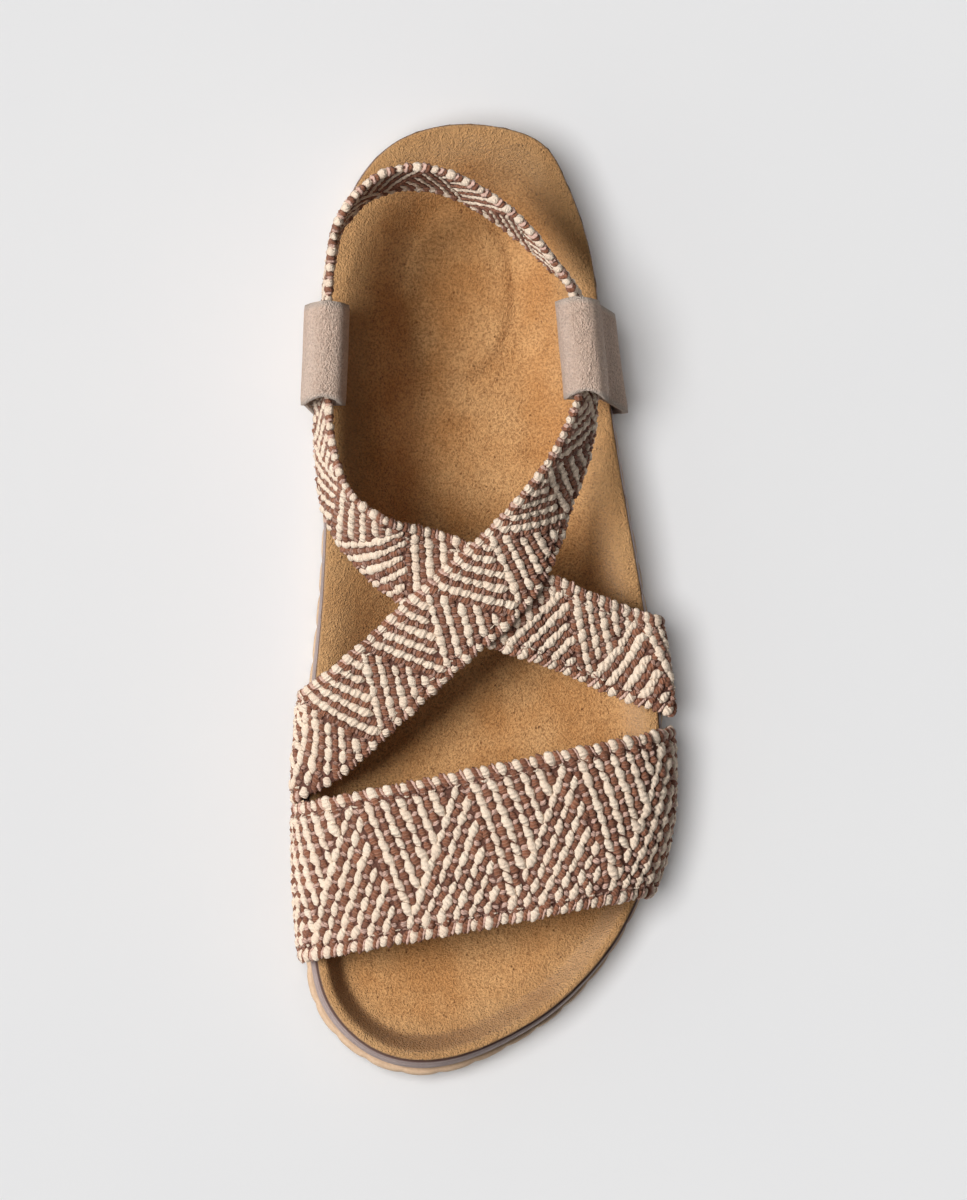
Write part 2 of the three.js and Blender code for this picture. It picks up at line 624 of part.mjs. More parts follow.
// A suede strip comes up from the sole, goes round the tape and is sewn to itself below it.
function loopSolid(side) {
  const section = LOOP_SECTIONS[side];
  const half = LOOP_THICKNESS / 2;
  const tapeAt = (position) => {
    const at = (column) => alongTable(TAPE_SECTIONS, position, column);
    return { ...tapePlace({ x: at('x'), y: at('y'), z: at('z') }), width: at('width') * TAPE_WIDTH };
  };
  const pitch = Math.abs(tapeAt(section + 0.5).y - tapeAt(section - 0.5).y);
  const reach = (side * LOOP_LENGTH) / pitch;
  const places = LOOP_COLUMNS.map((share) => tapeAt(section + (share - 0.5) * reach));
  const halfWidth = STRAP_THICKNESS / 2 + LOOP_SIDE_ROOM + half;
  const halfHeight = tapeAt(section).width / 2 + LOOP_END_ROOM + half;
  const row = ({ out, up }) =>
    places.map(({ x, y, z }) => new THREE.Vector3(x + side * out * halfWidth, y, z + up * halfHeight));
  const turned = (rows) => (side === LATERAL ? rows : rows.reverse());
  const tail = anchorRows(side, LOOP, LOOP_COLUMNS).reverse();
  const outer = smoothRows([...tail, ...LOOP_OUTER.map(row)], 2);
  const inner = [LOOP_OUTER.at(-1), ...LOOP_INNER].map(row);
  const [first, second] = [outer, inner].map((rows) => toSolid(stripGeometry(turned(rows), half, half, 1)));
  return first.add(second);
}

// Assembly

function piece(name, geometry, color, roughness) {
  const mesh = new THREE.Mesh(geometry, new THREE.MeshStandardMaterial({ color, roughness, metalness: 0 }));
  mesh.name = name;
  return mesh;
}

const SUEDE_TAN = 0xb98a56;
const SUEDE_PALE = 0xcdb6a2;
const TAUPE = 0x6f625f;
const GUM_TAN = 0xb49a78;
const WOVEN = 0xb79d8a;

const sandal = new THREE.Group();
const frontRows = frontStrapRows();
const tape = crossTapeRows();
sandal.add(
  piece('outsole', outsoleGeometry(), GUM_TAN, 0.8),
  piece('midsole', midsoleGeometry(), TAUPE, 0.75),
  piece('insole', insoleGeometry(), SUEDE_TAN, 0.95),
  piece('front_strap', stripGeometry(frontRows, STRAP_THICKNESS / 2), WOVEN, 0.85),
  piece('cross_strap', crossStrapGeometry(tape), WOVEN, 0.85),
  piece('loop_medial', toGeometry(loopSolid(MEDIAL)), SUEDE_PALE, 0.95),
  piece('loop_lateral', toGeometry(loopSolid(LATERAL)), SUEDE_PALE, 0.95),
);

export default sandal;
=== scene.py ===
import math
from collections import namedtuple

import bpy
import numpy as np
from mathutils import Matrix, Vector, kdtree


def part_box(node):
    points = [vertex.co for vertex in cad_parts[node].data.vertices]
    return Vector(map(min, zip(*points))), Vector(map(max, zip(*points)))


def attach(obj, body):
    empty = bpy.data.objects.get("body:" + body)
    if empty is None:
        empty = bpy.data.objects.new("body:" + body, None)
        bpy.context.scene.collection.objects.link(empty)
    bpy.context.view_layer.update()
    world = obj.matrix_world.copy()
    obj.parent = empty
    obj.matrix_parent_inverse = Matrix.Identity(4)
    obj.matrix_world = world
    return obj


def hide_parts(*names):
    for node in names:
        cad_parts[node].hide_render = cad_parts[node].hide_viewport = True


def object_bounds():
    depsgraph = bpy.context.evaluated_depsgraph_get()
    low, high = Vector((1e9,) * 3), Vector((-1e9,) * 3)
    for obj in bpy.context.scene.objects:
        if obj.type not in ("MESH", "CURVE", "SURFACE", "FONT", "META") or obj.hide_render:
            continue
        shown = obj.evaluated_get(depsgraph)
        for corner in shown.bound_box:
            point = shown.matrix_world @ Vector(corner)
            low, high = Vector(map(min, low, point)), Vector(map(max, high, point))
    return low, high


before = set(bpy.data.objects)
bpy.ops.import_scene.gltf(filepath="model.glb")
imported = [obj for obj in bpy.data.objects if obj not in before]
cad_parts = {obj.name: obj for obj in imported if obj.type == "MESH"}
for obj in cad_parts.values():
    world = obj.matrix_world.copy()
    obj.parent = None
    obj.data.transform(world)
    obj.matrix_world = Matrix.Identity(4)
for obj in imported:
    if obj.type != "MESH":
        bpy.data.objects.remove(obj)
cad_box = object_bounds()

# Sizes of the sandal in millimetres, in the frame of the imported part: X to the outer side of the
# foot, Y to the heel, Z up, and the origin on the floor under the heel.
MM = 0.001
INSOLE_LOW, INSOLE_HIGH = (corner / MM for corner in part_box("insole"))
HEEL_BACK = INSOLE_HIGH.y
FOOTBED_LENGTH = INSOLE_HIGH.y - INSOLE_LOW.y
FOOTBED_WIDTH = 92.6
BED_HEIGHT = 19
RIM_HEIGHT = 11
RIM_FLAT = 2.2
TOE_SLOPE = 6.4
TOE_SOFTNESS = 0.2
TOE_ZONE = (120, 165)
INSOLE_THICKNESS = 2
OUTSOLE_THICKNESS = 5
TOE_FLARE = 4
TOE_SPRING = 8
WAIST_LIFT = 1.5
HEEL_BEVEL = 2
SIDE_BULGE = 0.2
MIDSOLE_FLARE = 0.58
TREAD_PITCH = 7.5
TREAD_WIDTH = 2.4
TREAD_DEPTH = 1.6
GAP = 0.3

FRONT_STRAP_WIDTH = 40
FRONT_STRAP_RISE = 25
FRONT_STRAP_FALL = 5
TAPE_WIDTH = 23.5
TAPE_RISE = 31
STRAP_THICKNESS = 2.4
YARN_ROOM = 0.5
LOOP_LENGTH = 27
LOOP_THICKNESS = 1.4
LASTING_MARGIN = 10
LOOP_SIDE_ROOM = 3.4
LOOP_END_ROOM = 2.7

MEDIAL = -1
LATERAL = 1

# Sections of the sole, a row every 15 degrees of the angle that runs from the heel end to the toe
# end: the edge's distances from the heel's centre line as shares of FOOTBED_WIDTH, and the flare
# of the sole's foot as shares of TOE_FLARE.
Outline = namedtuple("Outline", "medial lateral medial_flare lateral_flare")
OUTLINE = [
    Outline(-0.004, 0.004, 0, 0),
    Outline(0.188, 0.206, 0, 0),
    Outline(0.313, 0.296, 0.05, 0.05),
    Outline(0.377, 0.363, 0.1, 0.1),
    Outline(0.386, 0.396, 0.15, 0.15),
    Outline(0.392, 0.444, 0.15, 0.2),
    Outline(0.406, 0.504, 0.25, 0.25),
    Outline(0.435, 0.554, 0.4, 0.3),
    Outline(0.446, 0.551, 0.6, 0.4),
    Outline(0.435, 0.459, 0.6, 0.28),
    Outline(0.396, 0.287, 0.92, 0.55),
    Outline(0.281, 0.071, 0.97, 0.8),
    Outline(0.121, -0.121, 1.05, 1.05),
]

# Sections of the footbed's top at the same angles: the bed as a share of BED_HEIGHT, the rims as
# shares of RIM_HEIGHT and the widths of their inner slopes as shares of FOOTBED_WIDTH.
Bed = namedtuple("Bed", "bed medial_rim lateral_rim medial_slope lateral_slope")
FOOTBED = [
    Bed(1, 1, 1, 0.24, 0.24),
    Bed(1, 1, 1, 0.24, 0.24),
    Bed(1, 1, 1, 0.24, 0.24),
    Bed(1, 1.05, 0.98, 0.25, 0.24),
    Bed(1, 1.15, 0.95, 0.3, 0.23),
    Bed(0.98, 1.22, 0.92, 0.33, 0.22),
    Bed(0.91, 1.1, 0.85, 0.27, 0.17),
    Bed(0.81, 0.85, 0.75, 0.15, 0.12),
    Bed(0.73, 0.68, 0.66, 0.09, 0.11),
    Bed(0.69, 0.6, 0.6, 0.085, 0.1),
    Bed(0.67, 0.58, 0.58, 0.09, 0.1),
    Bed(0.66, 0.58, 0.58, 0.095, 0.095),
    Bed(0.66, 0.58, 0.58, 0.095, 0.095),
]

# Sections of the long tape from above the rim at the inner side of the ball, over the instep,
# round the heel and under itself to the outer side. x is a share of FOOTBED_WIDTH, y of
# FOOTBED_LENGTH from the heel end, z of TAPE_RISE above the heel's bed, across the plan direction
# from the lower to the upper edge, lean the tilt from level and width a share of TAPE_WIDTH.
Section = namedtuple("Section", "x y z across lean width")
TAPE_SECTIONS = [
    Section(-0.415, 0.652, 0.48, 112, 8, 1.08),
    Section(-0.31, 0.62, 0.63, 129, 14, 1),
    Section(-0.171, 0.572, 0.77, 132, 18, 1),
    Section(-0.065, 0.536, 0.9, 134, 19, 1),
    Section(0.033, 0.504, 0.98, 137, 16, 1),
    Section(0.119, 0.471, 1.03, 145, 26, 1),
    Section(0.184, 0.433, 1.03, 158, 42, 0.98),
    Section(0.244, 0.393, 1.02, 167, 56, 0.95),
    Section(0.298, 0.355, 1, 172, 64, 0.92),
    Section(0.329, 0.32, 1, 174, 70, 0.88),
    Section(0.343, 0.293, 1, 176, 76, 0.85),
    Section(0.331, 0.239, 1.02, 180, 81, 0.84),
    Section(0.311, 0.182, 1.05, 185, 86, 0.85),
    Section(0.248, 0.152, 1.11, 207, 93, 0.92),
    Section(0.139, 0.109, 1.21, 227, 99, 0.98),
    Section(0.009, 0.0755, 1.29, 240, 101, 1),
    Section(-0.076, 0.062, 1.32, 251, 102, 1),
    Section(-0.152, 0.0585, 1.32, 270, 103, 1),
    Section(-0.229, 0.0635, 1.31, 292, 101, 1),
    Section(-0.3, 0.08, 1.27, 317, 97, 0.98),
    Section(-0.361, 0.1105, 1.19, 339, 93, 0.96),
    Section(-0.383, 0.149, 1.1, 353, 90, 0.9),
    Section(-0.394, 0.189, 1.05, 358, 88, 0.85),
    Section(-0.4, 0.249, 1.02, 360, 85, 0.84),
    Section(-0.406, 0.306, 1, 362, 81, 0.85),
    Section(-0.399, 0.349, 1, 366, 78, 0.9),
    Section(-0.377, 0.39, 1.02, 377, 72, 0.95),
    Section(-0.338, 0.42, 1.03, 396, 63, 1),
    Section(-0.269, 0.446, 1.05, 412, 52, 1),
    Section(-0.179, 0.466, 1.03, 421, 34, 1),
    Section(-0.092, 0.48, 0.97, 424, 22, 1),
    Section(0.036, 0.504, 0.9, 426, 15, 1),
    Section(0.14, 0.518, 0.81, 429, 16, 1),
    Section(0.24, 0.53, 0.69, 432, 17, 1),
    Section(0.35, 0.548, 0.56, 437, 17, 1),
    Section(0.45, 0.564, 0.44, 443, 11, 1.02),
]
HEEL_SEAM_AT = 17

# The instep that both runs of the tape lie on where they cross, in the terms of that table
CROSSING = Section(0.02, 0.506, 0.98, 0, 0, 1)
INSTEP_SLOPE_X = -0.08
INSTEP_SLOPE_Y = 0.3
INSTEP_ARCH = 0.55
INSTEP_HOLD_FULL = 0.6
INSTEP_HOLD_NONE = 1.3

# Section round a loop, from its outer side over the top and down its inner side back to the outer
# one, as shares of its half width and half height from the tape's middle
LOOP_ROUND = [
    (0.86, -0.84),
    (1, -0.3),
    (0.98, 0.35),
    (0.88, 0.68),
    (0.58, 0.91),
    (0, 1),
    (-0.58, 0.91),
    (-0.88, 0.68),
    (-0.98, 0.3),
    (-0.98, -0.4),
    (-0.84, -0.76),
    (-0.35, -0.98),
    (0.35, -1.02),
    (0.9, -1.0),
]
LOOP_SECTIONS = {MEDIAL: 23, LATERAL: 10.9}

# Where each strap stands on the side of the sole, as a share of FOOTBED_LENGTH from the heel end,
# and how wide it spreads there. The levels are heights on that side as shares of its height, and
# how far the strap stands off it as shares of the strap's thickness.
Strap = namedtuple("Strap", "width thickness anchors levels")
FRONT_STRAP = Strap(
    FRONT_STRAP_WIDTH,
    STRAP_THICKNESS,
    {MEDIAL: (0.809, 1), LATERAL: (0.733, 1.05)},
    [(0.82, 0.3), (0.52, 0.17)],
)
TAPE = Strap(
    TAPE_WIDTH,
    STRAP_THICKNESS,
    {MEDIAL: (0.665, 1.22), LATERAL: (0.58, 1.08)},
    [(1.26, 0.37), (0.89, 0.33), (0.52, 0.17)],
)
LOOP = Strap(
    LOOP_LENGTH,
    LOOP_THICKNESS,
    {MEDIAL: (0.25, 1.1), LATERAL: (0.257, 0.97)},
    [(0.99, 1.7), (0.52, 0.36)],
)
TUCK_ROWS = [(1.1, 0), (0.42, -0.2), (0.06, -1.2), (0, -2.2)]


# Meshes

def link(obj):
    bpy.context.scene.collection.objects.link(obj)
    return obj


def mesh_object(name, points, faces, materials=(), smooth=True):
    """An object of a mesh whose points are given in millimetres."""
    mesh = bpy.data.meshes.new(name)
    mesh.from_pydata((np.asarray(points, float) * MM).tolist(), [], faces)
    mesh.polygons.foreach_set("use_smooth", [smooth] * len(mesh.polygons))
    for material in materials:
        mesh.materials.append(material)
    mesh.update()
    return link(bpy.data.objects.new(name, mesh))


def point_attribute(obj, name, values, kind="FLOAT"):
    attribute = obj.data.attributes.new(name, kind, "POINT")
    field = "value" if kind == "FLOAT" else "vector"
    attribute.data.foreach_set(field, np.asarray(values, np.float32).ravel())


def grid_faces(rows, columns, start=0, closed=False):
    """Faces of a grid of points, row after row. A closed grid joins each row's two ends."""
    faces = []
    across = columns if closed else columns - 1
    for i in range(rows - 1):
        for j in range(across):
            right = (j + 1) % columns
            here = start + i * columns
            there = here + columns
            faces.append((here + j, here + right, there + right, there + j))
    return faces


def smoothstep(value, low, high):
    t = np.clip((value - low) / (high - low), 0, 1)
    return t * t * (3 - 2 * t)


def lerp(a, b, t):
    return a + (b - a) * t


def unit(vectors):
    return vectors / np.maximum(np.linalg.norm(vectors, axis=-1, keepdims=True), 1e-9)


# Form of the sole

def along_table(values, position, before=None, after=None):
    """A value from a column of a table at an even spacing, on a smooth curve through its rows."""
    before = values[0] if before is None else before
    after = values[-1] if after is None else after
    padded = np.array([before, *values, after], float)
    i = np.clip(np.floor(position).astype(int), 0, len(values) - 2)
    t = position - i
    a, b, c, d = (padded[i + k] for k in range(4))
    square = 2 * a - 5 * b + 4 * c - d
    cube = 3 * b - a - 3 * c + d
    return 0.5 * (2 * b + (c - a) * t + square * t**2 + cube * t**3)


SECTION_ANGLE = math.pi / (len(OUTLINE) - 1)
SOLE_MIDDLE = HEEL_BACK - FOOTBED_LENGTH / 2
TOE_END = HEEL_BACK - FOOTBED_LENGTH


def edge_x(angle, side):
    own, other = ("lateral", "medial") if side == LATERAL else ("medial", "lateral")
    values = [getattr(row, own) for row in OUTLINE]
    before = -getattr(OUTLINE[1], other)
    after = -getattr(OUTLINE[-2], other)
    return side * along_table(values, angle / SECTION_ANGLE, before, after) * FOOTBED_WIDTH


def outline_point(turn):
    """Edge of the footbed. The turn runs from 0 at the heel end over the lateral side to half a
    turn at the toe end, and back over the medial side."""
    wrapped = np.mod(turn, 2 * math.pi)
    angle = np.where(wrapped <= math.pi, wrapped, 2 * math.pi - wrapped)
    x = np.where(wrapped <= math.pi, edge_x(angle, LATERAL), edge_x(angle, MEDIAL))
    return np.stack([x, SOLE_MIDDLE + FOOTBED_LENGTH / 2 * np.cos(angle)], -1)


def offset_point(turn, distance):
    step = 0.01
    along = unit(outline_point(turn + step) - outline_point(turn - step))
    outwards = np.stack([-along[..., 1], along[..., 0]], -1)
    return outline_point(turn) + outwards * np.asarray(distance)[..., None]


def angle_at(y):
    return np.arccos(np.clip((y - SOLE_MIDDLE) / (FOOTBED_LENGTH / 2), -1, 1))


def y_at(share):
    return HEEL_BACK - share * FOOTBED_LENGTH


def turn_at(y, side):
    return angle_at(y) if side == LATERAL else 2 * math.pi - angle_at(y)


def flare_at(turn):
    wrapped = np.mod(turn, 2 * math.pi)
    lateral = [row.lateral_flare for row in OUTLINE]
    medial = [row.medial_flare for row in OUTLINE]
    angle = np.where(wrapped <= math.pi, wrapped, 2 * math.pi - wrapped)
    position = angle / SECTION_ANGLE
    return TOE_FLARE * np.where(
        wrapped <= math.pi, along_table(lateral, position), along_table(medial, position)
    )


SPRING_START = y_at(0.76)
WAIST_FROM = y_at(0.34)
WAIST_TO = y_at(0.56)
BEVEL_START = y_at(0.07)


def ground_z(y):
    toe = np.maximum(0, (SPRING_START - y) / (SPRING_START - TOE_END))
    heel = np.maximum(0, (y - BEVEL_START) / (HEEL_BACK - BEVEL_START))
    waist = np.clip((WAIST_FROM - y) / (WAIST_FROM - WAIST_TO), 0, 1)
    return TOE_SPRING * toe**2 + HEEL_BEVEL * heel**2 + WAIST_LIFT * np.sin(math.pi * waist) ** 2


EDGE_STEPS = 2880
EDGE_TREE = kdtree.KDTree(EDGE_STEPS)
for index, (x, y) in enumerate(outline_point(np.arange(EDGE_STEPS) / EDGE_STEPS * 2 * math.pi)):
    EDGE_TREE.insert((x, y, 0), index)
EDGE_TREE.balance()


def distance_to_edge(x, y):
    places = np.stack([np.ravel(x), np.ravel(y)], -1).tolist()
    found = [EDGE_TREE.find((px, py, 0))[2] for px, py in places]
    return np.array(found).reshape(np.shape(x))


def bed_z(x, y):
    """Top of the footbed: a bed with a raised rim whose inner side is a smooth slope."""
    angle = angle_at(y)
    position = angle / SECTION_ANGLE
    columns = zip(Bed._fields, zip(*FOOTBED))
    column = {name: along_table(values, position) for name, values in columns}
    medial_x = edge_x(angle, MEDIAL)
    lateral_x = edge_x(angle, LATERAL)
    side = smoothstep((x - medial_x) / np.maximum(lateral_x - medial_x, 1), 0, 1)
    rim = RIM_HEIGHT * lerp(column["medial_rim"], column["lateral_rim"], side)
    slope = FOOTBED_WIDTH * lerp(column["medial_slope"], column["lateral_slope"], side)
    # Round the toe the rim's inner side is a steep plane that meets the bed in a crease
    toe = smoothstep(-y, *TOE_ZONE)
    distance = distance_to_edge(x, y)
    soft = smoothstep(distance, RIM_FLAT, slope)
    plane = np.clip((distance - RIM_FLAT) / (TOE_SLOPE - RIM_FLAT), 0, 1)
    fall = lerp(soft, lerp(plane, smoothstep(plane, 0, 1), TOE_SOFTNESS), toe)
    return ground_z(y) + BED_HEIGHT * column["bed"] + rim * (1 - fall)


def midsole_under(y):
    return ground_z(y) + OUTSOLE_THICKNESS + GAP


def midsole_flare(turn):
    return MIDSOLE_FLARE * flare_at(turn)


def side_height(turn):
    x, y = np.moveaxis(outline_point(turn), -1, 0)
    return bed_z(x, y) - midsole_under(y)


# Layers of the sole as rings round the edge that close on a spine along the middle
SPINE_INSET = 42
RING_COUNT = 400


def spine_point(turn):
    y = SOLE_MIDDLE + (FOOTBED_LENGTH / 2 - SPINE_INSET) * np.cos(turn)
    angle = angle_at(y)
    return np.stack([(edge_x(angle, MEDIAL) + edge_x(angle, LATERAL)) / 2, y], -1)


def ring_turns(count=RING_COUNT):
    return np.arange(count) / count * 2 * math.pi


def inward_rings(edge, turns, insets, steps):
    """Rings from an edge inwards: first at the given distances, then in even steps to the spine."""
    spine = spine_point(turns)
    length = np.linalg.norm(spine - edge, axis=-1)[:, None]
    near = [edge + (spine - edge) * inset / length for inset in insets]
    last = insets[-1] / length
    far = [edge + (spine - edge) * lerp(last, 1, (k + 1) / steps) for k in range(steps)]
    return near + far


def shell(outer_rings, top_rings, under_rings):
    """Closes rings into one solid: under_rings run from the spine outwards, outer_rings up the
    side and top_rings inwards to the spine. Each ring is an array of points."""
    rings = [*under_rings, *outer_rings, *top_rings]
    count = len(rings[0])
    points = np.concatenate(rings)
    faces = grid_faces(len(rings), count, closed=True)
    last = (len(rings) - 1) * count
    first_ring = {i: count - i for i in range(count // 2 + 1, count)}
    last_ring = {last + i: last + count - i for i in range(count // 2 + 1, count)}
    weld = {**first_ring, **last_ring}
    faces = [tuple(weld.get(i, i) for i in face) for face in faces]
    return clean_points(points, faces)


def clean_points(points, faces):
    """Drops points that no face uses, and faces that have shrunk to a line."""
    kept = []
    for face in faces:
        slim = tuple(dict.fromkeys(face))
        if len(slim) > 2:
            kept.append(slim)
    used = sorted({i for face in kept for i in face})
    place = {old: new for new, old in enumerate(used)}
    return points[used], [tuple(place[i] for i in face) for face in kept]


def lift(ring, height, cut=0):
    """Points in the plane with their heights, and how far they lie on a cut edge or in a seam."""
    return np.column_stack([ring, height, np.full(len(ring), cut)])


# Shader nodes

def srgb(red, green, blue):
    """A colour given as a screen shows it, from 0 to 255, in linear light."""
    shares = [channel / 255 for channel in (red, green, blue)]
    linear = [s / 12.92 if s <= 0.04045 else ((s + 0.055) / 1.055) ** 2.4 for s in shares]
    return (*linear, 1)


def put(tree, kind, inputs=None, **settings):
    """Adds a node. inputs maps its sockets to values or to the sockets that feed them."""
    node = tree.nodes.new(kind)
    for name, value in settings.items():
        setattr(node, name, value)
    for socket, value in (inputs or {}).items():
        if isinstance(value, bpy.types.NodeSocket):
            tree.links.new(value, node.inputs[socket])
        else:
            node.inputs[socket].default_value = value
    return node


def calc(tree, operation, a, b=0.0, c=0.0, limit=False):
    inputs = {0: a, 1: b, 2: c}
    return put(tree, "ShaderNodeMath", inputs, operation=operation, use_clamp=limit).outputs[0]


def blend(tree, share, first, second, how="MIX"):
    inputs = {0: share, 6: first, 7: second}
    return put(tree, "ShaderNodeMix", inputs, data_type="RGBA", blend_type=how).outputs[2]


def mask(tree, value, low, high, floor=0.0, top=1.0):
    inputs = {"Value": value, "From Min": low, "From Max": high, "To Min": floor, "To Max": top}
    return put(tree, "ShaderNodeMapRange", inputs).outputs[0]


def noise(tree, place, size, detail=2.0, rough=0.5):
    """Noise whose features are about size millimetres across."""
    inputs = {"Vector": place, "Scale": 1 / (size * MM), "Detail": detail, "Roughness": rough}
    return put(tree, "ShaderNodeTexNoise", inputs).outputs[0]


def new_group(name, inputs, outputs):
    tree = bpy.data.node_groups.new(name, "ShaderNodeTree")
    for socket, kind, value in inputs:
        made = tree.interface.new_socket(socket, in_out="INPUT", socket_type=kind)
        if value is not None:
            made.default_value = value
    for socket, kind in outputs:
        tree.interface.new_socket(socket, in_out="OUTPUT", socket_type=kind)
    return tree, put(tree, "NodeGroupInput").outputs, put(tree, "NodeGroupOutput").inputs


def new_material(name, **constants):
    """A material with its shader's constants set, its node tree and its shader."""
    material = bpy.data.materials.new(name)
    material.use_nodes = True
    tree = material.node_tree
    shader = tree.nodes["Principled BSDF"]
    for socket, value in constants.items():
        shader.inputs[socket.replace("_", " ")].default_value = value
    return material, tree, shader


def object_place(tree):
    return put(tree, "ShaderNodeTexCoord").outputs["Object"]


def named_value(tree, name):
    return put(tree, "ShaderNodeAttribute", attribute_name=name).outputs["Fac"]


def use_group(tree, group, inputs):
    return put(tree, "ShaderNodeGroup", inputs, node_tree=group).outputs


def bump(tree, shader, height, distance, strength=1.0):
    inputs = {"Height": height, "Distance": distance * MM, "Strength": strength}
    tree.links.new(put(tree, "ShaderNodeBump", inputs).outputs[0], shader.inputs["Normal"])


# Sizes of what shows on the suede
PATCH_SIZE = 17
CLUMP_SIZE = 3.2
NAP_SIZE = 0.6
PIT_SPACING = 1.3


def suede_group():
    """Brushed suede: soft patches where the nap lies differently, fine nap and small pits."""
    tree, given, out = new_group(
        "suede_nap",
        [
            ("Place", "NodeSocketVector", None),
            ("Base", "NodeSocketColor", (0.5, 0.5, 0.5, 1)),
            ("Dark", "NodeSocketColor", (0.2, 0.2, 0.2, 1)),
            ("Light", "NodeSocketColor", (0.8, 0.8, 0.8, 1)),
            ("Patches", "NodeSocketFloat", 0.5),
            ("Pits", "NodeSocketFloat", 0.5),
        ],
        [("Colour", "NodeSocketColor"), ("Height", "NodeSocketFloat")],
    )
    place = given["Place"]
    patch = noise(tree, place, PATCH_SIZE, 3.0)
    nap = noise(tree, place, NAP_SIZE, 3.0, 0.6)
    fine = noise(tree, place, NAP_SIZE / 2, 1.0, 0.6)
    clump = noise(tree, place, CLUMP_SIZE, 2.0)
    cells = put(tree, "ShaderNodeTexVoronoi", {"Vector": place, "Scale": 1 / (PIT_SPACING * MM)})
    pit = mask(tree, cells.outputs["Distance"], 0.1, 0.3, 1.0, 0.0)
    pit = calc(tree, "MULTIPLY", pit, mask(tree, clump, 0.5, 0.64))
    pit = calc(tree, "MULTIPLY", pit, given["Pits"])
    lies = calc(tree, "MULTIPLY", mask(tree, patch, 0.36, 0.66), given["Patches"])
    colour = blend(tree, lies, given["Base"], given["Light"])
    colour = blend(tree, mask(tree, nap, 0.34, 0.6, 0.62, 0.0), colour, given["Dark"])
    colour = blend(tree, mask(tree, fine, 0.5, 0.75, 0.0, 0.3), colour, given["Light"])
    colour = blend(tree, pit, colour, given["Dark"])
    height = calc(tree, "ADD", nap, calc(tree, "MULTIPLY", fine, 0.35))
    height = calc(tree, "ADD", height, calc(tree, "MULTIPLY", clump, 0.9))
    height = calc(tree, "SUBTRACT", height, calc(tree, "MULTIPLY", pit, 0.6))
    tree.links.new(colour, out["Colour"])
    tree.links.new(height, out["Height"])
    return tree


def moulded_group():
    """Moulded rubber or foam: a fine pebbled grain and faint cloudy patches."""
    tree, given, out = new_group(
        "moulded_grain",
        [
            ("Place", "NodeSocketVector", None),
            ("Base", "NodeSocketColor", (0.5, 0.5, 0.5, 1)),
            ("Dark", "NodeSocketColor", (0.2, 0.2, 0.2, 1)),
        ],
        [("Colour", "NodeSocketColor"), ("Height", "NodeSocketFloat")],
    )
    cloud = noise(tree, given["Place"], 12, 3.0)
    grain = noise(tree, given["Place"], 0.8, 3.0, 0.6)
    patches = mask(tree, cloud, 0.35, 0.7, 0.0, 0.35)
    share = calc(tree, "ADD", patches, mask(tree, grain, 0.4, 0.65, 0.3, 0.0))
    tree.links.new(blend(tree, share, given["Base"], given["Dark"]), out["Colour"])
    tree.links.new(grain, out["Height"])
    return tree


SUEDE_NAP = suede_group()
MOULDED_GRAIN = moulded_group()


def suede_material(name, base, dark, light, cut, patches, pits, relief):
    finish = {"Roughness": 0.95, "Sheen_Weight": 0.12, "Sheen_Roughness": 0.4}
    material, tree, shader = new_material(name, **finish)
    shader.inputs["Specular IOR Level"].default_value = 0.15
    given = {"Base": base, "Dark": dark, "Light": light, "Patches": patches, "Pits": pits}
    look = use_group(tree, SUEDE_NAP, {"Place": object_place(tree), **given})
    brushed = named_value(tree, "brushed")
    colour = blend(tree, calc(tree, "MULTIPLY", brushed, 0.4), look["Colour"], light)
    # Painted shade down the rim's inner slope round the toe, read from the footbed's points
    colour = blend(tree, named_value(tree, "toe_slope_shade"), colour, dark)
    colour = blend(tree, named_value(tree, "cut"), colour, cut)
    tree.links.new(colour, shader.inputs["Base Color"])
    coarse = calc(tree, "MULTIPLY_ADD", brushed, 0.9, 0.7)
    bump(tree, shader, calc(tree, "MULTIPLY", look["Height"], coarse), relief, 0.9)
    return material


def moulded_material(name, base, dark, seam, roughness):
    material, tree, shader = new_material(name, Roughness=roughness)
    shader.inputs["Specular IOR Level"].default_value = 0.35
    look = use_group(tree, MOULDED_GRAIN, {"Place": object_place(tree), "Base": base, "Dark": dark})
    colour = blend(tree, named_value(tree, "seam"), look["Colour"], seam)
    tree.links.new(colour, shader.inputs["Base Color"])
    bump(tree, shader, look["Height"], 0.15, 0.6)
    return material


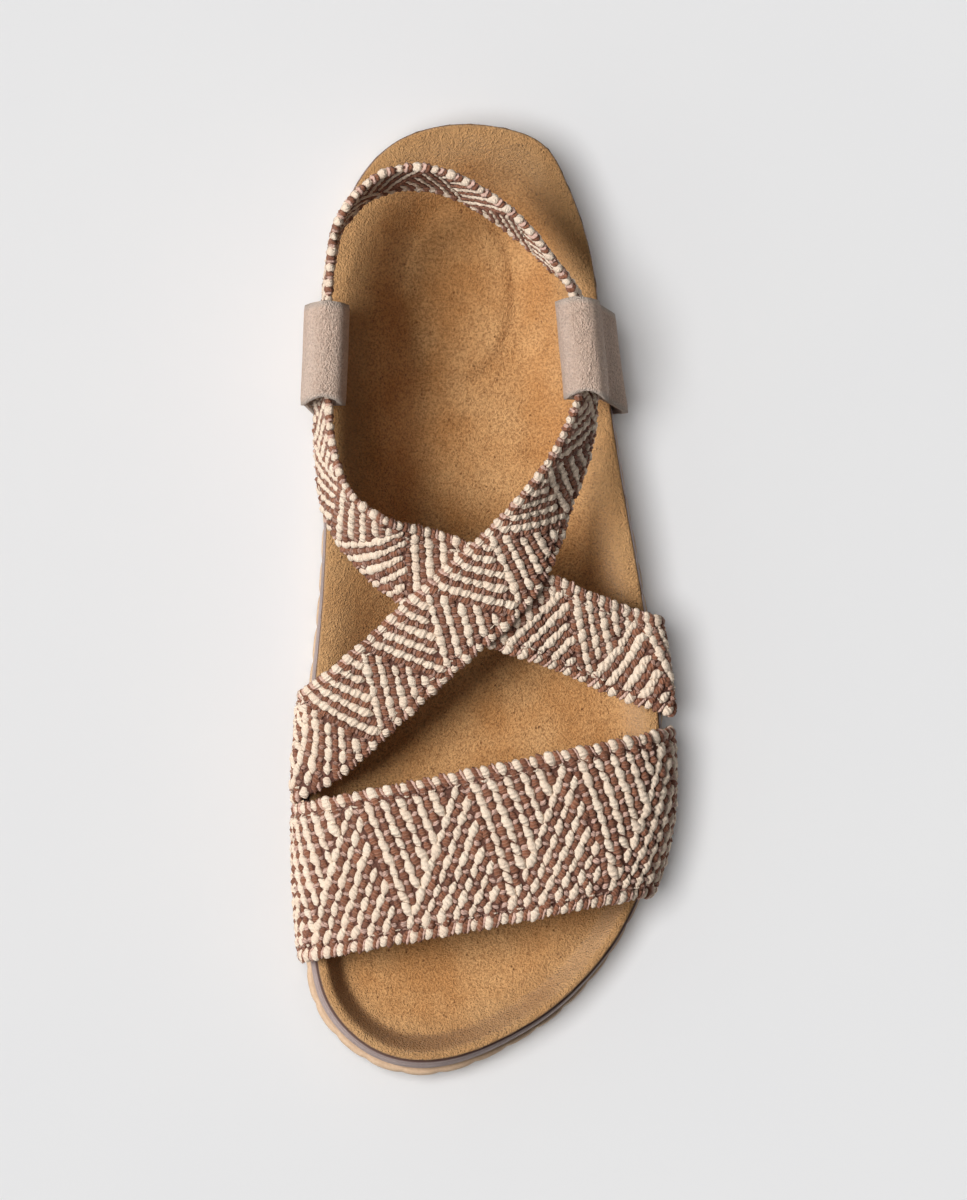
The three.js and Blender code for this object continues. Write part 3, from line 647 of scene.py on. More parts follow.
def yarn_material():
    """Plied yarns. yarn is 0 on the brown ones, 0.5 on the pinkish glints and 1 on the cream."""
    material, tree, shader = new_material("plied_yarn", Roughness=0.78, Sheen_Weight=0.06)
    shader.inputs["Specular IOR Level"].default_value = 0.3
    yarn = named_value(tree, "yarn")
    shade = named_value(tree, "shade")
    lengthwise = named_value(tree, "lengthwise")
    turns = calc(tree, "MULTIPLY_ADD", lengthwise, 1.8, named_value(tree, "around"))
    ply = calc(tree, "PINGPONG", calc(tree, "MULTIPLY", turns, 2.0), 0.5)
    ply = calc(tree, "MULTIPLY", ply, 2.0)
    fibre = noise(tree, object_place(tree), 0.25, 2.0)
    # The lighter pinkish stripes along the brown yarn's plies are partly its twist and partly a
    # painted highlight.
    brown = blend(tree, mask(tree, ply, 0.55, 0.95, 0.0, 0.5), srgb(154, 99, 72), srgb(212, 164, 140))
    brown = blend(tree, calc(tree, "MULTIPLY", shade, 0.6), brown, srgb(116, 71, 51))
    cream = blend(tree, mask(tree, ply, 0.0, 0.35, 0.3, 0.0), srgb(255, 234, 210), srgb(222, 188, 160))
    cream = blend(tree, calc(tree, "MULTIPLY", shade, 0.5), cream, srgb(246, 217, 191))
    colour = blend(tree, mask(tree, yarn, 0.0, 0.5), brown, srgb(226, 186, 168))
    colour = blend(tree, mask(tree, yarn, 0.5, 1.0), colour, cream)
    colour = blend(tree, mask(tree, fibre, 0.4, 0.7, 0.16, 0.0), colour, srgb(60, 40, 34))
    tree.links.new(colour, shader.inputs["Base Color"])
    bump(tree, shader, calc(tree, "MULTIPLY_ADD", ply, 0.8, fibre), 0.4, 0.9)
    return material


def web_material():
    """The ground of the weave between the yarns, whose dark brown is partly its own colour and partly
    painted shade for the gaps between the yarns.
    """
    material, tree, shader = new_material("weave_ground_gap_shade", Roughness=0.9)
    place = object_place(tree)
    fleck = noise(tree, place, 0.6, 2.0)
    # Dark browns that are partly painted shade in the gaps between the yarns
    colour = blend(tree, mask(tree, fleck, 0.5, 0.68), srgb(84, 50, 38), srgb(124, 84, 68))
    tree.links.new(colour, shader.inputs["Base Color"])
    bump(tree, shader, fleck, 0.2, 0.6)
    return material


FOOTBED_SUEDE = suede_material(
    "footbed_suede",
    base=srgb(203, 146, 90),
    dark=srgb(124, 77, 40),
    light=srgb(234, 184, 128),
    cut=srgb(98, 66, 44),
    patches=0.75,
    pits=0.75,
    relief=1.0,
)
LOOP_SUEDE = suede_material(
    "loop_suede",
    base=srgb(247, 215, 193),
    dark=srgb(196, 160, 138),
    light=srgb(255, 236, 220),
    cut=srgb(226, 206, 190),
    patches=0.3,
    pits=0.2,
    relief=3.0,
)
SEAM_BROWN = srgb(84, 60, 52)
TAUPE_FOAM = moulded_material("taupe_foam", srgb(170, 152, 147), srgb(138, 119, 114), SEAM_BROWN, 0.75)
TAN_RUBBER = moulded_material("tan_rubber", srgb(208, 178, 148), srgb(176, 145, 116), SEAM_BROWN, 0.7)
PLIED_YARN = yarn_material()
WEAVE_GROUND_AND_GAP_SHADE = web_material()


# Sole

def seat(obj, node):
    """The piece stands for a node of the part: it hangs from the root body, and the node is hidden."""
    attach(obj, "root")
    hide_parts(node)


# Relief of the footbed that a foot rests in: centre, half sizes and depth in millimetres, with a
# negative depth where it is raised, and how soft the edge is as a share of the half sizes
Hollow = namedtuple("Hollow", "x y half_width half_length depth soft")
HOLLOWS = [
    Hollow(-1.5, -12, 13.5, 22, -1.1, 0.2),
    Hollow(6, -168, 36, 30, 0.5, 0.8),
]
ARCH_RIDGE = Hollow(-20.5, -45, 5, 52, -0.9, 1.6)


def bed_relief(x, y):
    """The raised pad of the heel, the shallow hollow of the toes and the ridge of the arch."""
    relief = np.zeros_like(x)
    for hollow in [*HOLLOWS, ARCH_RIDGE]:
        reach = np.hypot((x - hollow.x) / hollow.half_width, (y - hollow.y) / hollow.half_length)
        relief -= hollow.depth * (1 - smoothstep(reach, 1 - hollow.soft / 2, 1 + hollow.soft / 2))
    return relief


EDGE_ROUND = 0.9
FOOTBED_INSETS = [
    *(0.12, 0.35, 0.7, 1.1, 1.7, 2.4, 3.1, 3.8, 4.5, 5.2),
    *(6, 6.8, 7.6, 8.5, 9.5, 10.5, 11.5, 12.5),
]
FOOTBED_STEPS = 26
UNDER_INSETS = [0.4, 4, 8, 12, 16, 22]
# The nap stands up along the edge, down to where a foot has pressed it flat
BRUSHED = (5, 13)


def rounded_drop(inset):
    """How far a rounded edge lies below the top at a distance in from the side."""
    short = np.clip(EDGE_ROUND - inset, 0, EDGE_ROUND)
    return EDGE_ROUND - np.sqrt(np.maximum(EDGE_ROUND**2 - short**2, 0))


# Painted shade down the toe rim's inner slope on the medial half: its strength, and the x over which
# it fades out towards the lateral side.
PAINTED_TOE_SHADE_STRENGTH = 0.5
PAINTED_TOE_SHADE_SIDE = (-25, 35)


def toe_slope_painted_shade(x, y, from_edge):
    """How much painted shade darkens the suede down the rim's inner slope, round the toe's medial
    half, which faces away from the key light.
    """
    top = smoothstep(from_edge, RIM_FLAT - 0.6, RIM_FLAT + 0.8)
    foot = 1 - smoothstep(from_edge, TOE_SLOPE - 0.3, TOE_SLOPE + 0.9)
    around = smoothstep(-y, *TOE_ZONE) * (1 - smoothstep(x, *PAINTED_TOE_SHADE_SIDE))
    return PAINTED_TOE_SHADE_STRENGTH * top * foot * around


# The suede's cut edge isn't quite even: height of the waves, their number round the footbed and
# where they start. Up the side they fade.
EDGE_WAVES = [(0.12, 61, 0), (0.1, 97, 1)]
WAVE_FADE = 0.6


def footbed():
    turns = ring_turns()
    edge = outline_point(turns)
    top = bed_z(edge[:, 0], edge[:, 1])
    wobble = sum(high * np.sin(turns * count + start) for high, count, start in EDGE_WAVES)
    side = []
    for up in (0, 0.5, 1):
        ring = offset_point(turns, wobble * (1 - WAVE_FADE * up))
        height = top - INSOLE_THICKNESS + up * (INSOLE_THICKNESS - EDGE_ROUND)
        side.append(lift(ring, height, 1))
    rings = inward_rings(edge, turns, FOOTBED_INSETS, FOOTBED_STEPS)
    upper = []
    for k, ring in enumerate(rings):
        inset = FOOTBED_INSETS[k] if k < len(FOOTBED_INSETS) else EDGE_ROUND
        x, y = ring.T
        cut = 0.5 if k == 0 else 0
        upper.append(lift(ring, bed_z(x, y) + bed_relief(x, y) - rounded_drop(inset), cut))
    under = []
    for ring in reversed(inward_rings(edge, turns, UNDER_INSETS, 3)):
        x, y = ring.T
        under.append(lift(ring, bed_z(x, y) + np.minimum(bed_relief(x, y), 0) - INSOLE_THICKNESS))
    points, faces = shell(side, upper, under)
    obj = mesh_object("footbed_cover", points[:, :3], faces, [FOOTBED_SUEDE])
    point_attribute(obj, "cut", points[:, 3])
    from_edge = distance_to_edge(points[:, 0], points[:, 1])
    point_attribute(obj, "brushed", 1 - smoothstep(from_edge, *BRUSHED))
    # Painted shade down the toe rim's inner slope
    point_attribute(obj, "toe_slope_shade", toe_slope_painted_shade(points[:, 0], points[:, 1], from_edge))
    seat(obj, "insole")


# Side of the midsole from the underside up: height as a share of the side, flare as a share of
# the sole's, and how far it stands out in millimetres. Above LIP_FROM it stands out only round
# the toe.
MIDSOLE_SIDE = [
    (0, 1, -0.5),
    (0.03, 1, 0),
    (0.2, 0.94, 0.2),
    (0.4, 0.8, 0.25),
    (0.58, 0.6, 0.22),
    (0.66, 0.5, 0.2),
    (0.68, 0.48, -0.35),
    (0.71, 0.44, -0.35),
    (0.73, 0.42, 0.18),
    (0.84, 0.3, 0.3),
    (0.93, 0.16, 0.5),
    (0.965, 0.06, 0.3),
    (0.985, 0, 0),
    (1, 0, -0.4),
]

# Heights that are dark: the joints with the layers below and above, and a fine line between
MIDSOLE_SEAMS = (0, 0.68, 0.71, 0.965, 0.985, 1)
MIDSOLE_COLUMNS = 800

# Round the toe the midsole's flare is slimmer, and the top of its side is a small lip
TOE_SLIMMING = 0.1
TOE_SLIM_ZONE = (150, 195)
LIP_FROM = 0.8
LIP_ZONE = (110, 165)


def visible_flare(turns):
    """Flare of the midsole, which is slimmer round the toe than where the straps are tucked in."""
    toe = smoothstep(-outline_point(turns)[:, 1], *TOE_SLIM_ZONE)
    return midsole_flare(turns) * (1 - TOE_SLIMMING * toe)


def pocket_lift(turns, inset):
    """Space for the straps' ends, which are tucked between the midsole and the outsole."""
    raised = np.zeros_like(turns)
    for strap in (FRONT_STRAP, TAPE, LOOP):
        for side, (at, spread) in strap.anchors.items():
            middle = y_at(at)
            half = spread * strap.width / 2 + GAP
            y = outline_point(turns)[:, 1]
            own_side = (turns <= math.pi) if side == LATERAL else (turns > math.pi)
            inside = own_side & (np.abs(y - middle) < half)
            under = 1 - smoothstep(inset, LASTING_MARGIN + 1, LASTING_MARGIN + 2)
            depth = (strap.thickness + GAP) * under
            raised = np.where(inside, np.maximum(raised, depth), raised)
    return raised


def midsole():
    turns = ring_turns(MIDSOLE_COLUMNS)
    edge = outline_point(turns)
    top = bed_z(*edge.T) - INSOLE_THICKNESS - GAP
    side = []
    toe = smoothstep(-edge[:, 1], *LIP_ZONE)
    for up, flare, out in MIDSOLE_SIDE:
        stands = out * toe if up > LIP_FROM and out > 0 else out
        ring = offset_point(turns, flare * visible_flare(turns) + stands)
        bottom = midsole_under(ring[:, 1]) + pocket_lift(turns, 0)
        side.append(lift(ring, lerp(bottom, top, up), 1 if up in MIDSOLE_SEAMS else 0))
    upper = []
    for ring in inward_rings(edge, turns, UNDER_INSETS, 3):
        x, y = ring.T
        under_insole = bed_z(x, y) + np.minimum(bed_relief(x, y), 0) - INSOLE_THICKNESS
        upper.append(lift(ring, under_insole - GAP))
    insets = [2, LASTING_MARGIN + 1, LASTING_MARGIN + 2]
    under = []
    beyond = [3 * LASTING_MARGIN] * 2
    rings = inward_rings(edge, turns, insets, len(beyond))
    for inset, ring in reversed([*zip([*insets, *beyond], rings)]):
        under.append(lift(ring, midsole_under(ring[:, 1]) + pocket_lift(turns, inset)))
    points, faces = shell(side, upper, under)
    obj = mesh_object("midsole_wrap", points[:, :3], faces, [TAUPE_FOAM])
    point_attribute(obj, "seam", points[:, 3])
    seat(obj, "midsole")


# Side of the outsole from the ground up, in the same terms
OUTSOLE_SIDE = [
    (0, 1, -0.8),
    (0.05, 1, -0.35),
    (0.16, 1, 0),
    (0.4, 0.98, 0.15),
    (0.7, 0.95, 0.2),
    (0.9, 0.86, 0.2),
    (0.97, 0.82, 0.05),
    (1, 0.8, -0.3),
]
SCALLOP_PITCH = 9
SCALLOP_DEPTH = 0.45
TREAD_ZONES = [(0.03, 0.36), (0.52, 0.97)]
GROOVE_WALL = 0.15
OUTSOLE_STEP = 1.1


def groove_edges():
    """Where the grooves of the tread start and end, along the sole."""
    edges = []
    for start, end in TREAD_ZONES:
        count = int((end - start) * FOOTBED_LENGTH / TREAD_PITCH)
        for i in range(count + 1):
            y = y_at(start) - i * TREAD_PITCH
            edges.append((y - TREAD_WIDTH / 2, y + TREAD_WIDTH / 2))
    return edges


GROOVES = groove_edges()


def tread_z(y):
    depth = np.zeros_like(y)
    for low, high in GROOVES:
        depth = np.where((y > low) & (y < high), TREAD_DEPTH, depth)
    return depth


def outsole_angles():
    """Angles from heel to toe, close together and in pairs at each wall of a groove."""
    walls = [y + s * GROOVE_WALL / 2 for edges in GROOVES for y in edges for s in (-1, 1)]
    filler = np.linspace(0, math.pi, int(math.pi / (OUTSOLE_STEP / (FOOTBED_LENGTH / 2))))
    angles = np.sort(np.concatenate([filler, angle_at(np.array(walls))]))
    walls_at = angle_at(np.array(walls))
    kept = [a for a in angles if a in walls_at or np.min(np.abs(walls_at - a)) > 0.0015]
    return np.array(kept)


def scallop(turns):
    """Shallow scallops round the outsole's side, by the distance along its edge."""
    edge = outline_point(turns)
    steps = np.linalg.norm(np.diff(edge, axis=0, prepend=edge[-1:]), axis=-1)
    steps[0] = 0
    distance = np.cumsum(steps)
    waves = round(distance[-1] / SCALLOP_PITCH)
    wave = np.abs(np.sin(math.pi * waves * distance / distance[-1]))
    return -SCALLOP_DEPTH * (1 - wave) ** 2


def outsole():
    angles = outsole_angles()
    count = len(angles)
    turns = np.concatenate([angles, 2 * math.pi - angles[-2:0:-1]])
    ring_y = outline_point(turns)[:, 1]
    waves = scallop(turns)
    rings = []
    for up, flare, out in OUTSOLE_SIDE:
        ring = offset_point(turns, flare * flare_at(turns) + out + waves)
        bottom = ground_z(ring[:, 1]) + tread_z(ring_y)
        top = ground_z(ring[:, 1]) + OUTSOLE_THICKNESS
        rings.append(np.column_stack([ring, lerp(bottom, top, up)]))
    total = len(turns)
    points = [*np.concatenate(rings)]
    faces = grid_faces(len(rings), total, closed=True)
    for ring_index, upwards in ((0, False), (len(rings) - 1, True)):
        faces += fill(points, rings[ring_index], ring_index * total, count, ring_y, upwards)
    obj = mesh_object("outsole_tread", np.array(points), faces, [TAN_RUBBER])
    obj.data.set_sharp_from_angle(angle=math.radians(40))
    seat(obj, "outsole")


FILL_SHARES = [0.04, 0.15, 0.32, 0.5, 0.68, 0.85, 0.96]


def fill(points, ring, start, count, ring_y, upwards):
    """Faces across the sole between the two sides of a ring, in rows from heel to toe."""
    total = len(ring)
    rows = []
    for i in range(count):
        right = start + i
        left = start + (total - i) % total
        if i in (0, count - 1):
            rows.append([right])
            continue
        row = [left]
        for share in FILL_SHARES:
            point = lerp(ring[(total - i) % total], ring[i], share)
            base = ground_z(np.array(point[1]))
            point[2] = base + (OUTSOLE_THICKNESS if upwards else tread_z(ring_y[i : i + 1])[0])
            points.append(point)
            row.append(len(points) - 1)
        rows.append([*row, right])
    faces = []
    for first, second in zip(rows, rows[1:]):
        if len(first) == 1:
            quads = [(first[0], b, a) for a, b in zip(second, second[1:])]
        elif len(second) == 1:
            quads = [(a, b, second[0]) for a, b in zip(first, first[1:])]
        else:
            quads = [
                (first[j], first[j + 1], second[j + 1], second[j]) for j in range(len(first) - 1)
            ]
        faces += [tuple(reversed(face)) for face in quads] if upwards else quads
    return faces


# Straps: rows of points across the strap, from end to end and from the lower to the upper edge

def smooth_rows(rows, steps):
    """Extra rows on a centripetal curve through the rows given."""
    rows = np.asarray(rows, float)
    before = 2 * rows[0] - rows[1]
    after = 2 * rows[-1] - rows[-2]
    padded = np.concatenate([[before], rows, [after]])
    spread = np.linalg.norm(np.diff(padded, axis=0), axis=-1, keepdims=True) ** 0.5
    spread = np.maximum(spread, 1e-4)
    made = []
    for i in range(len(rows) - 1):
        p0, p1, p2, p3 = padded[i : i + 4]
        d0, d1, d2 = spread[i : i + 3]
        t1 = ((p1 - p0) / d0 - (p2 - p0) / (d0 + d1) + (p2 - p1) / d1) * d1
        t2 = ((p2 - p1) / d1 - (p3 - p1) / (d1 + d2) + (p3 - p2) / d2) * d1
        for k in range(steps):
            t = k / steps
            square = -3 * p1 + 3 * p2 - 2 * t1 - t2
            cube = 2 * p1 - 2 * p2 + t1 + t2
            made.append(p1 + t1 * t + square * t**2 + cube * t**3)
    made.append(rows[-1])
    return np.array(made)


def anchor_rows(side, strap, shares):
    """Rows down the side of the sole and under the midsole, from the free strap to the end."""
    at, spread = strap.anchors[side]
    turn = turn_at(y_at(at) + (shares - 0.5) * spread * strap.width, side)
    half = strap.thickness / 2
    stands = [(off, up * side_height(turn) - half) for up, off in strap.levels]
    stands += [(off, up * strap.thickness) for up, off in TUCK_ROWS]
    rows = []
    for off, height in stands:
        ring = offset_point(turn, midsole_flare(turn) + GAP + (0.5 + off) * strap.thickness)
        rows.append(np.column_stack([ring, midsole_under(ring[:, 1]) + half + height]))
    ring = offset_point(turn, np.full(len(turn), -LASTING_MARGIN))
    rows.append(np.column_stack([ring, midsole_under(ring[:, 1]) + half]))
    return rows


ACROSS = np.linspace(0, 1, 13)
ARCH_STEPS = 18
ARCH_SQUARENESS = 2.7
FRONT_SMOOTHING = 5
TAPE_SMOOTHING = 8
LOOP_SMOOTHING = 6


def front_strap_rows():
    medial = anchor_rows(MEDIAL, FRONT_STRAP, ACROSS)
    lateral = anchor_rows(LATERAL, FRONT_STRAP, ACROSS)
    crown = BED_HEIGHT + FRONT_STRAP_RISE - FRONT_STRAP_FALL * (1 - ACROSS)
    arch = []
    for i in range(1, ARCH_STEPS):
        angle = math.pi * i / ARCH_STEPS
        span = math.copysign(abs(math.cos(angle)) ** (2 / ARCH_SQUARENESS), math.cos(angle))
        rise = math.sin(angle) ** (2 / ARCH_SQUARENESS)
        row = lerp(lateral[0], medial[0], (1 - span) / 2)
        row[:, 2] = lerp(row[:, 2], crown, rise)
        arch.append(row)
    return smooth_rows([*medial[::-1], *arch[::-1], *lateral], FRONT_SMOOTHING)


def tape_place(section):
    return np.array([
        section.x * FOOTBED_WIDTH,
        y_at(section.y),
        BED_HEIGHT + section.z * TAPE_RISE,
    ])


def tape_row(section):
    plan = math.radians(section.across)
    tilt = math.radians(section.lean)
    level = math.cos(tilt)
    up = np.array([math.cos(plan) * level, math.sin(plan) * level, math.sin(tilt)])
    return tape_place(section) + (ACROSS[:, None] - 0.5) * section.width * TAPE_WIDTH * up


def on_instep(rows, depth):
    """Around the crossing both runs of the tape lie on one smooth instep, one under the other."""
    crossing = tape_place(CROSSING)
    dx = rows[..., 0] - crossing[0]
    dy = rows[..., 1] - crossing[1]
    arch = INSTEP_ARCH / FOOTBED_WIDTH * dx**2
    instep = crossing[2] + INSTEP_SLOPE_X * dx + INSTEP_SLOPE_Y * dy - arch
    away = np.hypot(dx, dy)
    free = smoothstep(away, INSTEP_HOLD_FULL * TAPE_WIDTH, INSTEP_HOLD_NONE * TAPE_WIDTH)
    held = rows.copy()
    held[..., 2] = lerp(instep - depth, rows[..., 2], free)
    return held


def cross_strap_rows():
    """The whole tape. From the middle of the heel on it is the run that lies below the other
    where they cross, with room for the yarns between the two."""
    medial = anchor_rows(MEDIAL, TAPE, ACROSS)
    lateral = anchor_rows(LATERAL, TAPE, ACROSS)
    rows = smooth_rows([*medial[::-1], *map(tape_row, TAPE_SECTIONS), *lateral], TAPE_SMOOTHING)
    heel = (len(medial) + HEEL_SEAM_AT) * TAPE_SMOOTHING
    depth = np.where(np.arange(len(rows)) > heel, STRAP_THICKNESS + YARN_ROOM, 0)[:, None]
    return on_instep(rows, depth)


class Ribbon:
    """A strap's middle surface, read at a distance along it and a share of the way across."""

    def __init__(self, rows):
        self.rows = rows
        along = np.gradient(rows, axis=0)
        across = np.gradient(rows, axis=1)
        self.along = unit(along)
        self.normals = unit(np.cross(along, across))
        middle = rows[:, rows.shape[1] // 2]
        steps = np.linalg.norm(np.diff(middle, axis=0), axis=-1)
        self.distance = np.concatenate([[0], np.cumsum(steps)])
        self.width = np.linalg.norm(rows[:, -1] - rows[:, 0], axis=-1)

    def read(self, table, along, share):
        """A value of the table at distances along the strap and shares across it."""
        row = np.interp(along, self.distance, np.arange(len(self.distance)))
        column = np.clip(share, 0, 1) * (self.rows.shape[1] - 1)
        i = np.minimum(row.astype(int), len(self.distance) - 2)
        j = np.minimum(column.astype(int), self.rows.shape[1] - 2)
        s = (row - i)[:, None]
        t = (column - j)[:, None]
        near = lerp(table[i, j], table[i, j + 1], t)
        far = lerp(table[i + 1, j], table[i + 1, j + 1], t)
        return lerp(near, far, s)


WEB_HALF = 0.5


def band(name, rows, half, materials, edge=0.55):
    """A closed strip of an even thickness round a surface, a little thinner at its edges."""
    ribbon = Ribbon(rows)
    share = np.full(rows.shape[1], 1.0)
    share[[0, -1]] = edge
    offset = ribbon.normals * (half * share)[None, :, None]
    outer = rows + offset
    inner = rows - offset
    count, columns = rows.shape[:2]
    loop = np.concatenate([outer, inner[:, ::-1]], axis=1)
    points = loop.reshape(-1, 3)
    faces = [tuple(reversed(face)) for face in grid_faces(count, 2 * columns, closed=True)]
    last = (count - 1) * 2 * columns
    for j in range(columns - 1):
        opposite = 2 * columns - 1 - j
        faces.append((j, j + 1, opposite - 1, opposite))
        faces.append((last + opposite, last + opposite - 1, last + j + 1, last + j))
    return mesh_object(name, points, faces, materials)


# Weave. Cream and brown grains of yarn lie head to tail in slanting chains, which turn over at
# the sides of triangles that stand along the strap.
Weave = namedtuple("Weave", "rows selvedge period slope zigzag start")
FRONT_WEAVE = Weave(rows=10, selvedge=2.9, period=4.35, slope=0.36, zigzag=28.6, start=7)
TAPE_WEAVE = Weave(rows=7, selvedge=2.4, period=4.2, slope=0.52, zigzag=24.6, start=3)

CREAM = 1.0
GLINT = 0.5
DIM_GLINT = 0.25
BROWN = 0.0
Grain = namedtuple("Grain", "yarn phase half_row length width height")
OUTER_GRAINS = [
    Grain(CREAM, 0, 0, 1.26, 2.6, 2.1),
    Grain(BROWN, 0.5, 0.5, 0.8, 2.2, 1.75),
    Grain(GLINT, 0.5, 0, 0.36, 2.2, 1.8),
]
TAPE_GRAINS = [
    Grain(CREAM, 0, 0, 1.45, 2.65, 2.1),
    Grain(BROWN, 0.5, 0.5, 0.95, 2.1, 1.65),
    Grain(DIM_GLINT, 0.5, 0, 0.4, 1.9, 1.6),
]
INNER_GRAINS = [
    Grain(CREAM, 0, 0, 1.4, 1.35, 1.0),
    Grain(BROWN, 0.5, 0.5, 1.3, 1.5, 0.9),
]


# A chain stops this share of a period past or before the side of its triangle
CHAIN_END = 0.3


def slanted(weave, row_centre, grain, length):
    """Places along one row of the chart where a grain's chain passes, and the way it leans."""
    places = []
    base = weave.slope * row_centre
    chains = int(weave.zigzag / weave.period) + 2
    spare = CHAIN_END * weave.period
    first = -int(length / weave.zigzag) - 2
    for n in range(first, -2 * first):
        apex = weave.start + n * weave.zigzag
        for m in range(chains):
            step = (m + grain.phase) * weave.period
            if step <= 2 * base + spare:
                places.append((apex - base + step, -1))
            start = step if grain.phase else step + weave.period
            u = apex + base + start
            if u < apex + weave.zigzag - base - spare:
                places.append((u, 1))
    return [(u, lean) for u, lean in places if 0 <= u <= length]


def chart(weave, ribbon, grains, span):
    """Every grain on one face of a strap: its place along it and share across it, the way it
    leans, its kind and the pitch of the rows."""
    low, high = span
    width = np.median(ribbon.width)
    inner_width = width - 2 * weave.selvedge
    pitch = inner_width / weave.rows
    found = []
    for grain in grains:
        for r in range(weave.rows + (1 if grain.half_row else 0)):
            v = (r + (0 if grain.half_row else 0.5)) * pitch
            for u, lean in slanted(weave, v, grain, high - low):
                found.append((low + u, 1 - (weave.selvedge + v) / width, lean, grain))
    along, share, lean = (np.array(column) for column in list(zip(*found))[:3])
    return along, share, lean, [row[3] for row in found], pitch


GRAIN_TWIST = 0.1


def grain_cloud(name, ribbon, weave, grains, face, span, lift_by):
    """A point for each grain of yarn, with the directions and sizes that its geometry takes."""
    along, share, lean, kinds, pitch = chart(weave, ribbon, grains, span)
    place = ribbon.read(ribbon.rows, along, share)
    normal = unit(ribbon.read(ribbon.normals, along, share)) * face
    forward = unit(ribbon.read(ribbon.along, along, share))
    down = unit(np.cross(forward, normal)) * face
    tilt = (lean * (weave.slope + GRAIN_TWIST))[:, None]
    axis = unit(down + forward * tilt)
    narrow = np.interp(along, ribbon.distance, ribbon.width) / np.median(ribbon.width)
    step = pitch * math.hypot(1, weave.slope)
    size = np.array([(k.length * step * n, k.width, k.height) for k, n in zip(kinds, narrow)])
    yarn = [kind.yarn for kind in kinds]
    return cloud(name, place + normal * lift_by, axis, normal, size, yarn)


def cloud(name, place, axis, normal, size, yarn):
    mesh = bpy.data.meshes.new(name)
    mesh.from_pydata((place * MM).tolist(), [], [])
    obj = link(bpy.data.objects.new(name, mesh))
    point_attribute(obj, "axis", axis, "FLOAT_VECTOR")
    point_attribute(obj, "normal_way", normal, "FLOAT_VECTOR")
    point_attribute(obj, "size", np.asarray(size) * MM, "FLOAT_VECTOR")
    point_attribute(obj, "yarn", yarn)
    return obj


# Geometry nodes that put a grain of yarn on every point of a cloud

def geometry_tree(name, inputs):
    tree = bpy.data.node_groups.new(name, "GeometryNodeTree")
    tree.interface.new_socket("Geometry", in_out="INPUT", socket_type="NodeSocketGeometry")
    for socket, kind, value in inputs:
        made = tree.interface.new_socket(socket, in_out="INPUT", socket_type=kind)
        if value is not None:
            made.default_value = value
    tree.interface.new_socket("Geometry", in_out="OUTPUT", socket_type="NodeSocketGeometry")
    return tree, put(tree, "NodeGroupInput").outputs, put(tree, "NodeGroupOutput").inputs


def attribute_read(tree, name, kind):
    return put(tree, "GeometryNodeInputNamedAttribute", {"Name": name}, data_type=kind).outputs[0]


def store(tree, geometry, name, value, kind="FLOAT", domain="POINT"):
    inputs = {"Geometry": geometry, "Name": name, "Value": value}
    node = put(tree, "GeometryNodeStoreNamedAttribute", inputs, data_type=kind, domain=domain)
    return node.outputs[0]


def vector_calc(tree, operation, a, b=(0, 0, 0)):
    return put(tree, "ShaderNodeVectorMath", {0: a, 1: b}, operation=operation).outputs[0]


def scaled(tree, vector, factor):
    inputs = {0: vector, "Scale": factor}
    return put(tree, "ShaderNodeVectorMath", inputs, operation="SCALE").outputs[0]


def random_value(tree, seed, low=0.0, high=1.0):
    inputs = {"Min": low, "Max": high, "Seed": seed}
    return put(tree, "FunctionNodeRandomValue", inputs, data_type="FLOAT").outputs["Value"]


LUMP_SIZE = 1.2


